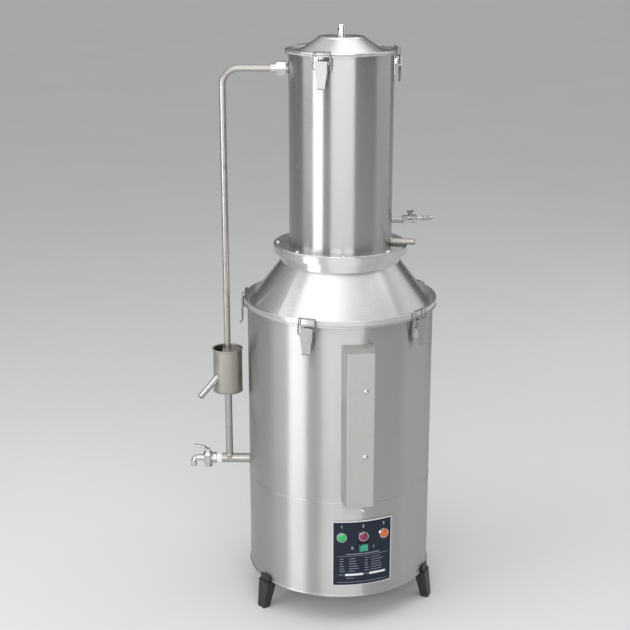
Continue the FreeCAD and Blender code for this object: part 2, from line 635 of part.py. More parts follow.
def latch_plate(vessel):
    body = new_body("plate_master", node=False)
    face = "%s + latch_plate_thick" % vessel
    back = draw(new_sketch(body, "YZ", "%s - 2" % vessel), [
        ("-latch_plate_wide / 2", "-latch_plate_low + 3"),
        ("-latch_plate_wide / 2 + 3", "-latch_plate_low"),
        ("latch_plate_wide / 2 - 3", "-latch_plate_low"),
        ("latch_plate_wide / 2", "-latch_plate_low + 3"),
        ("latch_plate_wide / 2", "-latch_plate_top"),
        ("-latch_plate_wide / 2", "-latch_plate_top")])
    extrude(body, back, "2 + latch_plate_thick")
    pin_x = "%s + lever_pin_out" % vessel
    ear = draw(new_sketch(body), [
        (face + " - 0.4", "-lever_pin_drop - 10"), (face + " + 2", "-lever_pin_drop - 10"),
        (pin_x, "-lever_pin_drop - ear_round", "ear_round"),
        (pin_x + " + ear_round", "-lever_pin_drop", "ear_round"),
        (pin_x, "-lever_pin_drop + ear_round"),
        (face + " - 0.4", "-lever_pin_drop - 1.6")])
    extrude(body, ear, "ear_span", middle=True)
    room = draw(new_sketch(body), [
        (face, "-latch_plate_low"), (pin_x + " + 5", "-latch_plate_low"),
        (pin_x + " + 5", "-latch_plate_top"), (face, "-latch_plate_top")])
    extrude(body, room, "ear_span - 2 * ear_thick", middle=True, cut=True)
    eye = circle(new_sketch(body), pin_x, "-lever_pin_drop", "lever_pin_radius")
    extrude(body, eye, "ear_span + 4", middle=True, cut=True)
    shell = circle(new_sketch(body, "XY"), 0, 0, vessel)
    extrude(body, shell, "4 * latch_plate_low", middle=True, cut=True)
    return solid_of(body)


def latch_pin(vessel):
    """Rivet through the ears and the lever's flanges."""
    body = new_body("pin_master", node=False)
    half = "lever_wide / 2 + seat_gap"
    pin_x = "%s + lever_pin_out" % vessel
    shank = circle(new_sketch(body), pin_x, "-lever_pin_drop", "lever_pin_radius")
    extrude(body, shank, "2 * (%s + 1)" % half, middle=True)
    for back in (False, True):
        head = circle(new_sketch(body, "XZ", ("-(%s)" if back else "%s") % half), pin_x,
                      "-lever_pin_drop", "lever_pin_radius + 1.1")
        extrude(body, head, "1.2", back=back)
    return solid_of(body)


def latch_lever(label, vessel, azimuth):
    """Pressed lever: two flanges on the pin, a tapering handle, and a rolled lip at its tip."""
    body = new_body(label, latch_place(vessel, azimuth))
    inner = "%s + lever_face_out" % vessel
    outer = inner + " + lever_thick"
    top, low = "-lever_top_drop", "-lever_top_drop - lever_length"
    flange_low = "-lever_top_drop - lever_flange_length"
    handle = draw(new_sketch(body, "YZ", inner), [
        ("-lever_tip_wide / 2", low), ("lever_tip_wide / 2", low),
        ("lever_wide / 2", flange_low), ("lever_wide / 2", top), ("-lever_wide / 2", top),
        ("-lever_wide / 2", flange_low)])
    extrude(body, handle, "lever_thick")
    flange_in = "%s + lever_flange_in" % vessel
    cheek = draw(new_sketch(body), [
        (flange_in, flange_low + " + 2.5"), (flange_in + " + 2", flange_low),
        (outer + " - 0.2", flange_low), (outer + " - 0.2", top), (flange_in + " + 2", top),
        (flange_in, top + " - 2")])
    extrude(body, cheek, "lever_wide", middle=True)
    room = draw(new_sketch(body), [
        (flange_in + " - 1", flange_low + " - 1"), (inner, flange_low + " - 1"),
        (inner, top + " + 1"), (flange_in + " - 1", top + " + 1")])
    extrude(body, room, "lever_wide - 2 * lever_thick", middle=True, cut=True)
    lip = draw(new_sketch(body), [
        (inner, low + " - 0.6"), (inner + " + 1.2", low + " - 2.6"),
        (outer + " + 3.4", low + " - 3.0"), (outer + " + 3.6", low + " - 1.4"),
        (outer + " + 1", low + " - 0.9"), (outer, low + " + 0.4"), (inner, low + " + 0.4")])
    extrude(body, lip, "lever_tip_wide", middle=True)
    for out, drop, radius in (("lever_pin_out", "lever_pin_drop", "lever_pin_radius"),
                              ("bail_pin_out", "bail_pin_drop", "bail_radius")):
        eye = circle(new_sketch(body), "%s + %s" % (vessel, out), "-" + drop,
                     radius + " + pivot_fit")
        extrude(body, eye, "lever_wide + 4", middle=True, cut=True)


def bent_path(points, bends):
    """Straight runs joined by tangent arcs: one bend radius for each inner point."""
    edges, here = [], points[0]
    for index in range(1, len(points) - 1):
        before = (points[index - 1] - points[index]).normalize()
        after = (points[index + 1] - points[index]).normalize()
        half = before.getAngle(after) / 2.0
        reach = bends[index - 1] / math.tan(half)
        start, stop = points[index] + before * reach, points[index] + after * reach
        bisector = (before + after).normalize()
        crown = points[index] + bisector * (bends[index - 1] / math.sin(half)
                                            - bends[index - 1])
        edges.append(Part.LineSegment(here, start).toShape())
        edges.append(Part.Arc(start, crown, stop).toShape())
        here = stop
    edges.append(Part.LineSegment(here, points[-1]).toShape())
    return Part.Wire(edges)


def latch_bail(label, vessel, azimuth):
    """Wire loop: feet in the lever's flanges, legs past the rim, crosswire on top of it."""
    wall = size(vessel)
    wire = size("bail_radius")
    foot_out, foot_drop = wall + size("bail_pin_out"), -size("bail_pin_drop")
    leg, cross = wall + size("bail_leg_out"), wall + size("bail_cross_out")
    head = wire + size("seat_gap")
    inside = size("ear_span / 2 + ear_thick / 2")
    half_foot, half_head = size("bail_half_foot"), size("bail_half_head")
    knee = foot_drop + size("bail_knee_rise")
    side = [Vector(foot_out, inside, foot_drop), Vector(foot_out, half_foot, foot_drop),
            Vector(leg, half_foot - size("bail_knee_in"), knee), Vector(leg, half_head, head),
            Vector(cross, half_head, head)]
    other = [Vector(p.x, -p.y, p.z) for p in reversed(side)]
    bends = [size("bail_%s_bend" % part) for part in ("foot", "knee", "leg", "head")]
    path = bent_path(side + other, bends + bends[::-1])
    section = Part.Wire(Part.Circle(side[0], Vector(0, 1, 0), wire).toShape())
    loop = Part.Wire(path).makePipeShell([section], True, False)
    feature = doc.addObject("Part::Feature", label)
    feature.Label = label
    feature.Shape = loop
    feature.Placement = latch_place(vessel, azimuth)
    NODES.append(feature)


def latches():
    """Three latches hold the lid; five hold the hood, spaced to swing clear of the pipe."""
    plates, pins = [], []
    for prefix, vessel in (("lid", "condenser_radius"), ("boiler", "boiler_radius")):
        count = int(size(prefix + "_latch_count"))
        azimuths = [size("%s_latch_azimuth + %s_latch_turn * %d" % (prefix, prefix, n))
                    for n in range(count)]
        places = [latch_place(vessel, azimuth) for azimuth in azimuths]
        plates += copies(latch_plate(vessel), places)
        pins += copies(latch_pin(vessel), places)
        for number, azimuth in enumerate(azimuths, start=1):
            latch_lever("%s_lever_%d" % (prefix, number), vessel, azimuth)
            latch_bail("%s_bail_%d" % (prefix, number), vessel, azimuth)
    group("latch_plates", plates)
    group("latch_pins", pins)


# Cooling water return and the level cup

def union_nut():
    """Hexagon union nut with a round tail, on the stub and the return pipe."""
    body = new_body("union_nut", turned(-90, size("return_height")))
    near = "condenser_radius + stub_reach - 3"
    far = near + " + nut_length"
    tail = far + " + nut_tail_length"
    flat = hexagon(new_sketch(body, "YZ", near), "nut_flats")
    nut = extrude(body, flat, "nut_length")
    trim = draw(new_sketch(body), [
        (near + " - 1", "nut_flats / 2 + 0.2"), (near + " + 2", "nut_flats / 2 + 2.2"),
        (far + " - 2", "nut_flats / 2 + 2.2"), (far + " + 1", "nut_flats / 2 + 0.2"),
        (far + " + 1", "nut_flats"), (near + " - 1", "nut_flats")])
    revolve(body, trim, "H_Axis", cut=True)
    revolve(body, draw(new_sketch(body), [
        (far + " - 1", "pipe_radius"), (tail + " - 0.8", "pipe_radius"),
        (tail, "pipe_radius + 0.8"), (tail, "nut_tail_radius - 0.8"),
        (tail + " - 0.8", "nut_tail_radius"), (far + " - 1", "nut_tail_radius")]), "H_Axis")
    revolve(body, draw(new_sketch(body), [
        (near + " - 1", 0), (tail + " + 1", 0), (tail + " + 1", "pipe_radius"),
        (near + " + 3", "pipe_radius"), (near + " + 3", "nut_tail_radius"),
        (near + " - 1", "nut_tail_radius")]), "H_Axis", cut=True)


def downpipe():
    """Return pipe: a level run from the union, one bend, and a long drop into the cup."""
    body = new_body("downpipe", turned(-90))
    start = "condenser_radius + stub_reach"
    path = draw(new_sketch(body), [
        (start, "return_height"), ("return_reach - bend_radius", "return_height",
                                   "-bend_radius"),
        ("return_reach", "return_height - bend_radius"), ("return_reach", "return_end")],
        closed=False)
    for radius, cut in (("pipe_radius", False), ("pipe_radius - pipe_wall", True)):
        section = circle(new_sketch(body, "YZ", start), 0, "return_height", radius)
        sweep(body, section, path, cut)


def level_cup():
    """Open cup that sets the boiler's water level, with a beaded rim and two ports."""
    body = new_body("cup_vessel", Placement(Vector(-size("return_reach"), 0, 0), Rotation()),
                    node=False)
    revolve(body, draw(new_sketch(body), [
        ("riser_pipe_radius", "cup_floor"), ("cup_radius - 3", "cup_floor", 3),
        ("cup_radius", "cup_floor + 3"), ("cup_radius", "cup_top - 1.4"),
        ("cup_radius - thin_wall", "cup_top - 1.4"),
        ("cup_radius - thin_wall", "cup_floor + thin_wall + 2"),
        ("cup_radius - thin_wall - 2", "cup_floor + thin_wall"),
        ("riser_pipe_radius", "cup_floor + thin_wall")]))
    bead(body, "cup_radius - thin_wall / 2", "cup_top - 1.4", "1.4")
    drill = doc.addObject("Part::Cylinder", "spout_drill")
    bind(drill, Radius="spout_boss", Height="cup_radius")
    drill.Placement = spout_place().multiply(Placement(Vector(size("cup_radius * 0.7"), 0, 0),
                                                       Rotation(Vector(0, 1, 0), 90)))
    cup = doc.addObject("Part::Cut", "level_cup")
    cup.Base, cup.Tool = body, drill
    cup.Label = "level_cup"
    NODES.append(cup)


def spout_place():
    """Frame of the overflow spout: +X down along it, origin on the cup's axis."""
    spin = Rotation(Vector(0, 0, 1), size("spout_azimuth") - 90).multiply(
        Rotation(Vector(0, 1, 0), size("spout_slope")))
    rise = size("cup_radius") * math.tan(math.radians(size("spout_slope")))
    return Placement(Vector(-size("return_reach"), 0, size("spout_height") + rise), spin)


def cup_cover():
    """Loose splash plate on the cup's mouth; the return pipe passes through it."""
    body = new_body("cup_cover", Placement(Vector(-size("return_reach"), 0, 0), Rotation()))
    edge = "cup_radius - thin_wall - 1.2"
    back = "sqrt((%s)^2 - cup_lid_chord^2)" % edge
    disc = draw(new_sketch(body, "XY", "cup_top - 3.4"), [
        ("-cup_lid_chord", "-" + back, edge),
        (edge, 0, edge), ("-cup_lid_chord", back)])
    plate = extrude(body, disc, "thin_wall")
    hole = circle(new_sketch(body, "XY", "cup_top - 3.4"), 0, 0, "pipe_radius")
    extrude(body, hole, 6, middle=True, cut=True)


def overflow_spout():
    """Sloping tube on a boss that is trimmed flush with the cup's inner wall."""
    body = new_body("spout_tube", spout_place(), node=False)
    near = "cup_radius * 0.8"
    root = "(cup_radius + 2 * spout_radius * sin(spout_slope)) / cos(spout_slope)"
    far = "(cup_radius - 1) / cos(spout_slope) + spout_length"
    revolve(body, draw(new_sketch(body), [
        (near, "spout_radius - pipe_wall"), (far, "spout_radius - pipe_wall"),
        (far, "spout_radius"), (root, "spout_radius"),
        (root + " - spout_boss + spout_radius", "spout_boss"), (near, "spout_boss")]), "H_Axis")
    well = doc.addObject("Part::Cylinder", "cup_well")
    bind(well, Radius="cup_radius - thin_wall", Height="cup_top")
    well.Placement = Placement(Vector(-size("return_reach"), 0, 0), Rotation())
    spout = doc.addObject("Part::Cut", "overflow_spout")
    spout.Base, spout.Tool = body, well
    spout.Label = "overflow_spout"
    NODES.append(spout)


def feed_pipe():
    """Feed pipe out of the boiler with the riser from the cup welded on."""
    body = new_body("feed_pipe", turned(-90))
    near = "boiler_radius - sheet_wall"
    run = circle(new_sketch(body, "YZ", near), 0, "feed_height", "feed_radius")
    extrude(body, run, "feed_reach - boiler_radius + sheet_wall")
    column = circle(new_sketch(body, "XY", "feed_height"), "return_reach", 0,
                    "riser_pipe_radius")
    extrude(body, column, "cup_floor + thin_wall - feed_height")
    shoulder = new_sketch(body, "XZ", along="return_reach")
    revolve(body, draw(shoulder, [
        (0, "feed_height"), ("riser_pipe_radius + weld_flare", "feed_height"),
        ("riser_pipe_radius + weld_flare", "feed_height + feed_radius - 3", "-weld_flare * 1.6"),
        ("riser_pipe_radius", "feed_height + feed_radius + weld_flare"),
        (0, "feed_height + feed_radius + weld_flare")]))
    bore = circle(new_sketch(body, "YZ", near), 0, "feed_height", "feed_radius - pipe_wall")
    extrude(body, bore, "feed_reach", cut=True, back=True)
    shaft = circle(new_sketch(body, "XY", "feed_height"), "return_reach", 0,
                   "riser_pipe_radius - pipe_wall")
    extrude(body, shaft, "cup_floor + 10 - feed_height", cut=True, back=True)


# Drain tap

def tap_body():
    """Plug tap: threaded shank, hexagon, barrel, upright plug housing, down-turned nose."""
    body = new_body("tap_body", turned(-90, size("feed_height")))
    shank, hexa = "feed_reach - 12", "feed_reach"
    barrel, nose = "feed_reach + 7", "tap_nose_reach"
    revolve(body, draw(new_sketch(body), [
        (shank, 0), (nose, 0), (nose, "tap_barrel_radius - 1.5"),
        (barrel + " + 4", "tap_barrel_radius - 1"), (barrel, "tap_barrel_radius"),
        (hexa, "tap_barrel_radius"), (hexa, "feed_radius - pipe_wall"),
        (shank, "feed_radius - pipe_wall")]), "H_Axis")
    extrude(body, hexagon(new_sketch(body, "YZ", hexa), "tap_flats"), "6")
    house = new_sketch(body, "XZ", along="tap_plug_reach")
    revolve(body, draw(house, [
        (0, "-tap_plug_drop"), ("tap_plug_radius + 2", "-tap_plug_drop"),
        ("tap_plug_radius + 3", "-tap_plug_drop + 2"),
        ("tap_plug_radius + 4.2", "tap_plug_rise - 8"),
        ("tap_plug_radius + 2.4", "tap_plug_rise - 4"), (0, "tap_plug_rise - 4")]))
    path = draw(new_sketch(body), [
        (nose + " - 2", 0), (nose, 0, "-tap_nose_bend"),
        (nose + " + tap_nose_bend", "-tap_nose_bend"),
        (nose + " + tap_nose_bend", "-tap_nose_bend - tap_nose_drop")], closed=False)
    start = nose + " - 2"
    sweep(body, circle(new_sketch(body, "YZ", start), 0, 0, "tap_barrel_radius - 1.5"), path)
    sweep(body, circle(new_sketch(body, "YZ", start), 0, 0, "tap_bore"), path, cut=True)
    bore = circle(new_sketch(body, "YZ", shank), 0, 0, "tap_bore")
    extrude(body, bore, "tap_nose_reach - feed_reach + 11", cut=True, back=True)
    well = circle(new_sketch(body, "XY", along="tap_plug_reach"), 0, 0,
                  "tap_plug_radius + pivot_fit")
    extrude(body, well, "60", middle=True, cut=True)


def tap_key():
    """Plug with a cross bore, a stem and a cranked handle that lies over the nose."""
    body = new_body("tap_key", turned(-90, size("feed_height"), size("tap_plug_reach")))
    rise = "tap_plug_rise"
    revolve(body, draw(new_sketch(body), [
        (0, "-tap_plug_drop - tap_nut_height - 1"), ("2.5", "-tap_plug_drop - tap_nut_height - 1"),
        ("2.5", "-tap_plug_drop"), ("tap_plug_radius", "-tap_plug_drop"),
        ("tap_plug_radius", rise + " - 4"), ("3.6", rise + " - 2"), ("3.6", rise),
        (0, rise)]))
    arm = draw(new_sketch(body), [
        (-4, rise + " - 2"), (5, rise + " - 2"), (9, rise + " + tap_handle_rise - 3.5"),
        ("tap_handle_length", rise + " + tap_handle_rise"),
        ("tap_handle_length", rise + " + tap_handle_rise + 4.5"),
        (7, rise + " + tap_handle_rise + 1"), (2, rise + " + 3"), (-4, rise + " + 2.5")])
    handle = extrude(body, arm, "7", middle=True)
    soften(body, handle, "1.6", lambda edge: edge.Length > 12 and abs(
        edge.Vertexes[0].Point.y - edge.Vertexes[-1].Point.y) < 0.1
        and abs(abs(edge.Vertexes[0].Point.y) - 3.5) < 0.1)
    bore = circle(new_sketch(body, "YZ"), 0, 0, "tap_bore")
    extrude(body, bore, "30", middle=True, cut=True)


def tap_nut():
    """Nut that draws the plug down into its housing."""
    body = new_body("tap_nut", turned(-90, size("feed_height"), size("tap_plug_reach")))
    seat = "-tap_plug_drop - seat_gap"
    flat = hexagon(new_sketch(body, "XY", seat), "tap_nut_flats")
    extrude(body, flat, "tap_nut_height", back=True)
    hole = circle(new_sketch(body, "XY", seat), 0, 0, "2.5")
    extrude(body, hole, "3 * tap_nut_height", middle=True, cut=True)


# Cooling water inlet with its valve, and the distillate outlet

def nozzle(label, azimuth, height, outline):
    """Radial fitting turned about its own axis."""
    body = new_body(label, turned(size(azimuth), size(height)))
    revolve(body, draw(new_sketch(body), outline), "H_Axis")
    return body


def inlet_and_outlet():
    inside = "condenser_radius - sheet_wall"
    nozzle("inlet_nipple", "inlet_azimuth", "inlet_height", [
        (inside, "valve_bore"), ("inlet_reach", "valve_bore"), ("inlet_reach", "inlet_radius"),
        (inside, "inlet_radius")])
    nozzle("distillate_outlet", "outlet_azimuth", "outlet_height", [
        (inside, "outlet_radius - pipe_wall"), ("outlet_reach", "outlet_radius - pipe_wall"),
        ("outlet_reach", "outlet_radius"), ("condenser_radius + weld_flare", "outlet_radius"),
        ("condenser_radius", "outlet_radius + weld_flare / 2"),
        ("condenser_radius", "outlet_radius"), (inside, "outlet_radius")])
    body = new_body("valve_body", turned(size("inlet_azimuth"), size("inlet_height")))
    near, far = "inlet_reach - 6", "inlet_reach + valve_length"
    waist = "valve_length / 3"
    for start in (near, far + " - 1 - " + waist):
        extrude(body, hexagon(new_sketch(body, "YZ", start), "valve_flats"), waist + " + 1")
    revolve(body, draw(new_sketch(body), [
        (near + " + 1", 0), (far, 0), (far, "valve_flats / 2 - 1.5"),
        (near + " + 1", "valve_flats / 2 - 0.8")]), "H_Axis")
    stem = new_sketch(body, "XZ", along="inlet_reach + valve_length / 2 - 2")
    revolve(body, draw(stem, [(0, 0), ("valve_plug_radius + 1.6", 0),
                              ("valve_plug_radius + 1.6", "valve_flats / 2 + 1"),
                              (0, "valve_flats / 2 + 1")]))
    extrude(body, circle(new_sketch(body, "YZ", near + " - 1"), 0, 0, "valve_bore"),
            "valve_length + 20", cut=True, back=True)
    extrude(body, circle(new_sketch(body, "YZ", near + " - 1"), 0, 0, "inlet_radius"), "7",
            cut=True, back=True)
    well = circle(new_sketch(body, "XY", "-valve_plug_radius - 1",
                             along="inlet_reach + valve_length / 2 - 2"), 0, 0,
                  "valve_plug_radius + pivot_fit")
    extrude(body, well, "40", cut=True, back=True)
    key = new_body("valve_key", turned(size("inlet_azimuth"), size("inlet_height"),
                                       size("inlet_reach + valve_length / 2 - 2")))
    revolve(key, draw(new_sketch(key), [
        (0, "-valve_plug_radius - 0.6"), ("valve_plug_radius", "-valve_plug_radius - 0.6"),
        ("valve_plug_radius", "valve_flats / 2 + 1.6"), ("2.2", "valve_flats / 2 + 2.4"),
        ("2.2", "valve_key_rise - 3"), (0, "valve_key_rise - 3")]))
    wing = draw(new_sketch(key), [
        (-2.5, "valve_key_rise - 7"), (2.5, "valve_key_rise - 7"),
        ("valve_key_wide / 2", "valve_key_rise - 3"), ("valve_key_wide / 2", "valve_key_rise"),
        (2, "valve_key_rise - 1"), (-2, "valve_key_rise - 1"),
        ("-valve_key_wide / 2", "valve_key_rise"),
        ("-valve_key_wide / 2", "valve_key_rise - 3")])
    extrude(key, wing, "3.2", middle=True)
    extrude(key, circle(new_sketch(key, "YZ"), 0, 0, "valve_bore"), "20", middle=True, cut=True)
    tip = far + " + barb_length"
    nozzle("hose_barb", "inlet_azimuth", "inlet_height", [
        (far, "barb_bore"), (tip, "barb_bore"), (tip, "barb_radius"),
        (far, "barb_radius")])


# Heater cover and the heaters behind it

def heater_cover():
    """Folded sheet box on the boiler's front, open at the back, with its top falling away."""
    body = new_body("heater_cover", turned(size("cover_azimuth")))
    back = "boiler_radius - 8"

    def section(sketch, inset):
        return draw(sketch, [
            (back, "-cover_wide / 2 + " + inset),
            ("cover_reach - 2 - " + inset, "-cover_face_wide / 2 - 0.5 + " + inset, 2),
            ("cover_reach - " + inset, "-cover_face_wide / 2 + 1.5 + " + inset),
            ("cover_reach - " + inset, "cover_face_wide / 2 - 1.5 - " + inset, 2),
            ("cover_reach - 2 - " + inset, "cover_face_wide / 2 + 0.5 - " + inset),
            (back, "cover_wide / 2 - " + inset)])

    extrude(body, section(new_sketch(body, "XY", "cover_low"), "0"), "cover_high - cover_low")
    slope = draw(new_sketch(body), [
        ("boiler_radius", "cover_high"), ("cover_reach + 2", "cover_high - cover_drop"),
        ("cover_reach + 2", "cover_high + 2"), ("boiler_radius", "cover_high + 2")])
    extrude(body, slope, "2 * cover_wide", middle=True, cut=True)
    hollow = section(new_sketch(body, "XY", "cover_low + cover_wall"), "cover_wall")
    extrude(body, hollow, "cover_high - cover_low - cover_drop - 2 * cover_wall", cut=True,
            back=True)
    shell = circle(new_sketch(body, "XY"), 0, 0, "boiler_radius")
    extrude(body, shell, "4 * cover_high", middle=True, cut=True)
    for high in ("cover_screw_high", "cover_screw_low"):
        hole = circle(new_sketch(body, "YZ", "cover_reach - 3"), "cover_screw_side", high,
                      "screw_radius")
        extrude(body, hole, "8", cut=True, back=True)


def immersion_heaters():
    """Three hairpin heaters, each through the boiler's front on a round flange."""
    body = new_body("heater_master", node=False)
    seat = "boiler_radius"
    revolve(body, draw(new_sketch(body), [
        (seat + " - 12", 0), (seat + " + heater_flange_thick", 0),
        (seat + " + heater_flange_thick", "heater_flange"), (seat, "heater_flange"),
        (seat, "boiler_port_radius"), (seat + " - 12", "boiler_port_radius")]),
        "H_Axis")
    near, far = seat + " - 10", seat + " - heater_length"
    path = draw(new_sketch(body, "XY"), [
        (near, "heater_half"), (far, "heater_half", "heater_half"),
        (far + " - heater_half", 0, "heater_half"), (far, "-heater_half"),
        (near, "-heater_half")], closed=False)
    sweep(body, circle(new_sketch(body, "YZ", near), "heater_half", 0, "heater_rod"), path)
    for side in ("heater_half", "-heater_half"):
        stud = circle(new_sketch(body, "YZ", seat + " + heater_flange_thick - 1"), side, 0, "2")
        extrude(body, stud, "heater_stud")
    places = [turned(size("cover_azimuth"), size("heater_lowest + heater_step * %d" % step))
              for step in range(int(size("heater_count")))]
    group("immersion_heaters", copies(solid_of(body), places))


# Control panel, pilot lamps and the rocker switch

def control_panel():
    """Curved plate on the base shell, with ports for three lamps and the rocker."""
    body = new_body("panel_plate", turned(size("panel_azimuth")), node=False)
    inner, outer = "(boiler_radius + glue_thick)", "(boiler_radius + panel_thick)"
    cosine, sine = "cos(panel_half_angle)", "sin(panel_half_angle)"
    sector = draw(new_sketch(body, "XY", "panel_low"), [
        ("%s * %s" % (inner, cosine), "-%s * %s" % (inner, sine)),
        ("%s * %s" % (outer, cosine), "-%s * %s" % (outer, sine), outer),
        ("%s * %s" % (outer, cosine), "%s * %s" % (outer, sine)),
        ("%s * %s" % (inner, cosine), "%s * %s" % (inner, sine), "-" + inner)])
    extrude(body, sector, "panel_high - panel_low")
    opening = rectangle(new_sketch(body, "YZ", "boiler_radius - 12"),
                        "-rocker_body_wide / 2 - port_fit", "rocker_body_wide / 2 + port_fit",
                        "rocker_height - rocker_body_tall / 2 - port_fit",
                        "rocker_height + rocker_body_tall / 2 + port_fit")
    extrude(body, opening, "boiler_radius", cut=True, back=True)
    ports = [(turned(size("panel_azimuth + lamp_step * (%d)" % step), size("lamp_height")),
              "lamp_barrel + port_fit") for step in (-1, 0, 1)]
    bored("control_panel", body, ports, "boiler_radius / 2", "boiler_radius")


def pilot_lamps():
    """Three lamps: a chrome bezel on the panel, a domed lens inside it, a barrel behind."""
    face = "boiler_radius + panel_thick"
    bezels = new_body("bezel_master", node=False)
    revolve(bezels, draw(new_sketch(bezels), [
        (face, "lamp_lens"), (face, "lamp_bezel"), (face + " + 1", "lamp_bezel"),
        (face + " + lamp_bezel_rise", "lamp_lens + 1.2"),
        (face + " + lamp_bezel_rise", "lamp_lens")]), "H_Axis")
    places = []
    for step, colour in ((-1, "green"), (0, "red"), (1, "amber")):
        place = turned(size("panel_azimuth + lamp_step * (%d)" % step), size("lamp_height"))
        places.append(place)
        lamp = new_body("lamp_" + colour, place)
        dome = "lamp_bezel_rise + 1"
        revolve(lamp, draw(new_sketch(lamp), [
            (face + " - lamp_depth", 0), (face + " + lamp_lens_rise", 0,
                                          "lamp_lens * 1.7"),
            (face + " + " + dome, "lamp_lens"), (face, "lamp_lens"),
            (face + " - 1", "lamp_lens"), (face + " - lamp_depth", "lamp_lens")]), "H_Axis")
    group("lamp_bezels", copies(solid_of(bezels), places))


def rocker_switch():
    """Snap-in housing with a rim, and a rocker that tips left and right on two stub pins."""
    place = turned(size("panel_azimuth"), size("rocker_height"))
    face = "boiler_radius + panel_thick"
    rim = face + " + rocker_rim"
    housing = new_body("rocker_housing", place)
    frame = rectangle(new_sketch(housing, "YZ", face), "-rocker_wide / 2", "rocker_wide / 2",
                      "-rocker_tall / 2", "rocker_tall / 2")
    extrude(housing, frame, "rocker_rim")
    case = rectangle(new_sketch(housing, "YZ", face + " - rocker_depth"),
                     "-rocker_body_wide / 2", "rocker_body_wide / 2",
                     "-rocker_body_tall / 2", "rocker_body_tall / 2")
    extrude(housing, case, "rocker_depth + rocker_rim / 2")
    well = rectangle(new_sketch(housing, "YZ", face + " - rocker_depth + 2"),
                     "-rocker_key_wide / 2 - 0.6", "rocker_key_wide / 2 + 0.6",
                     "-rocker_key_tall / 2 - seat_gap", "rocker_key_tall / 2 + seat_gap")
    extrude(housing, well, "rocker_depth + rocker_rim", cut=True, back=True)
    eye = circle(new_sketch(housing, "XY"), rim + " - 1", 0, "1.2 + pivot_fit")
    extrude(housing, eye, "rocker_key_tall + 2", middle=True, cut=True)
    button = new_body("rocker_button", place)
    key = draw(new_sketch(button, "XY"), [
        (face + " - 7", "-rocker_key_wide / 4"), (rim + " - 2", "-rocker_key_wide / 2"),
        (rim + " + rocker_rise", "-rocker_key_wide / 2 + 0.3"), (rim + " + 0.6", 0),
        (rim + " + rocker_rise", "rocker_key_wide / 2 - 0.3"),
        (rim + " - 2", "rocker_key_wide / 2"), (face + " - 7", "rocker_key_wide / 4")])
    extrude(button, key, "rocker_key_tall", middle=True)
    pins = circle(new_sketch(button, "XY"), rim + " - 1", 0, "1.2")
    extrude(button, pins, "rocker_key_tall + 2 * seat_gap + 1", middle=True)
    axis = place.multVec(Vector(size(rim + " - 1"), 0, 0))
    tilt = Placement(Vector(), Rotation(Vector(0, 0, 1), size("rocker_tilt")), axis)
    button.Placement = tilt.multiply(place)


# Inside the base: terminal block; in its wall: the supply cable's gland

def terminal_block():
    body = new_body("terminal_block", turned(180, size("plate_level + thin_wall")))
    extrude(body, rectangle(new_sketch(body, "XY"), "terminal_near",
                            "terminal_near + terminal_deep",
                            "-terminal_long / 2", "terminal_long / 2"), "terminal_tall")
    step = "terminal_long / 6"
    for index in range(6):
        slot = rectangle(new_sketch(body, "XY", "terminal_tall"), "terminal_near + 2",
                         "terminal_near + terminal_deep - 2",
                         "-terminal_long / 2 + %s * %d + 1" % (step, index),
                         "-terminal_long / 2 + %s * %d - 1" % (step, index + 1))
        extrude(body, slot, "terminal_tall / 3", cut=True)


def cable_gland():
    """Gland for the supply cable, with a hexagon and a domed cap outside the shell."""
    body = new_body("cable_gland", turned(size("gland_azimuth"), size("gland_height")))
    wall = "boiler_radius"
    revolve(body, draw(new_sketch(body), [
        (wall + " - 10", "gland_bore"), (wall + " + 20", "gland_bore"),
        (wall + " + 20", "gland_bore + 2.5"), (wall + " + 17", "gland_flats / 2 - 1.5"),
        (wall + " + 5", "gland_flats / 2 - 1.5"), (wall, "gland_flats / 2 - 1"),
        (wall, "gland_thread"), (wall + " - 10", "gland_thread")]), "H_Axis")
    extrude(body, hexagon(new_sketch(body, "YZ", wall), "gland_flats"), "5")
    extrude(body, circle(new_sketch(body, "YZ", wall + " - 11"), 0, 0, "gland_bore"), "34",
            cut=True, back=True)


base_skirt()
bottom_plate()
foot("foot_front_left", "foot_one")
foot("foot_right", "foot_two")
foot("foot_rear", "foot_three")
dome_screws()
boiler_shell()
boiler_gasket()
cone_hood()
collar_gasket()
condenser_base()
condenser_shell()
tube_sheets()
condenser_tubes()
steam_riser()
lid_gasket()
lid()
latches()
union_nut()
downpipe()
level_cup()
cup_cover()
overflow_spout()
feed_pipe()
tap_body()
tap_key()
tap_nut()
inlet_and_outlet()
heater_cover()
immersion_heaters()
control_panel()
pilot_lamps()
rocker_switch()
terminal_block()
cable_gland()
doc.recompute()

# Every object is sound, every cut removes something, and every node is a valid solid.
for thing in doc.Objects:
    if "Invalid" in thing.State or "Error" in thing.State:
        raise RuntimeError("%s did not build" % thing.Label)
    if thing.TypeId in ("PartDesign::Pocket", "PartDesign::Groove"):
        before = thing.BaseFeature.Shape.Volume
        if not thing.Shape.Volume < before - 1e-6:
            raise RuntimeError("%s cuts nothing" % thing.Label)
os.makedirs("parts", exist_ok=True)
for node in NODES:
    if node.Shape.isNull() or not node.Shape.isValid() or not node.Shape.Solids:
        raise RuntimeError("%s is not a valid solid" % node.Label)
    node.Shape.exportStep("parts/%s.step" % node.Label)
    box = node.Shape.BoundBox
    print("%-20s solids %2d  volume %10.1f  z %7.1f to %7.1f"
          % (node.Label, len(node.Shape.Solids), node.Shape.Volume, box.ZMin, box.ZMax))
print(len(NODES), "nodes")
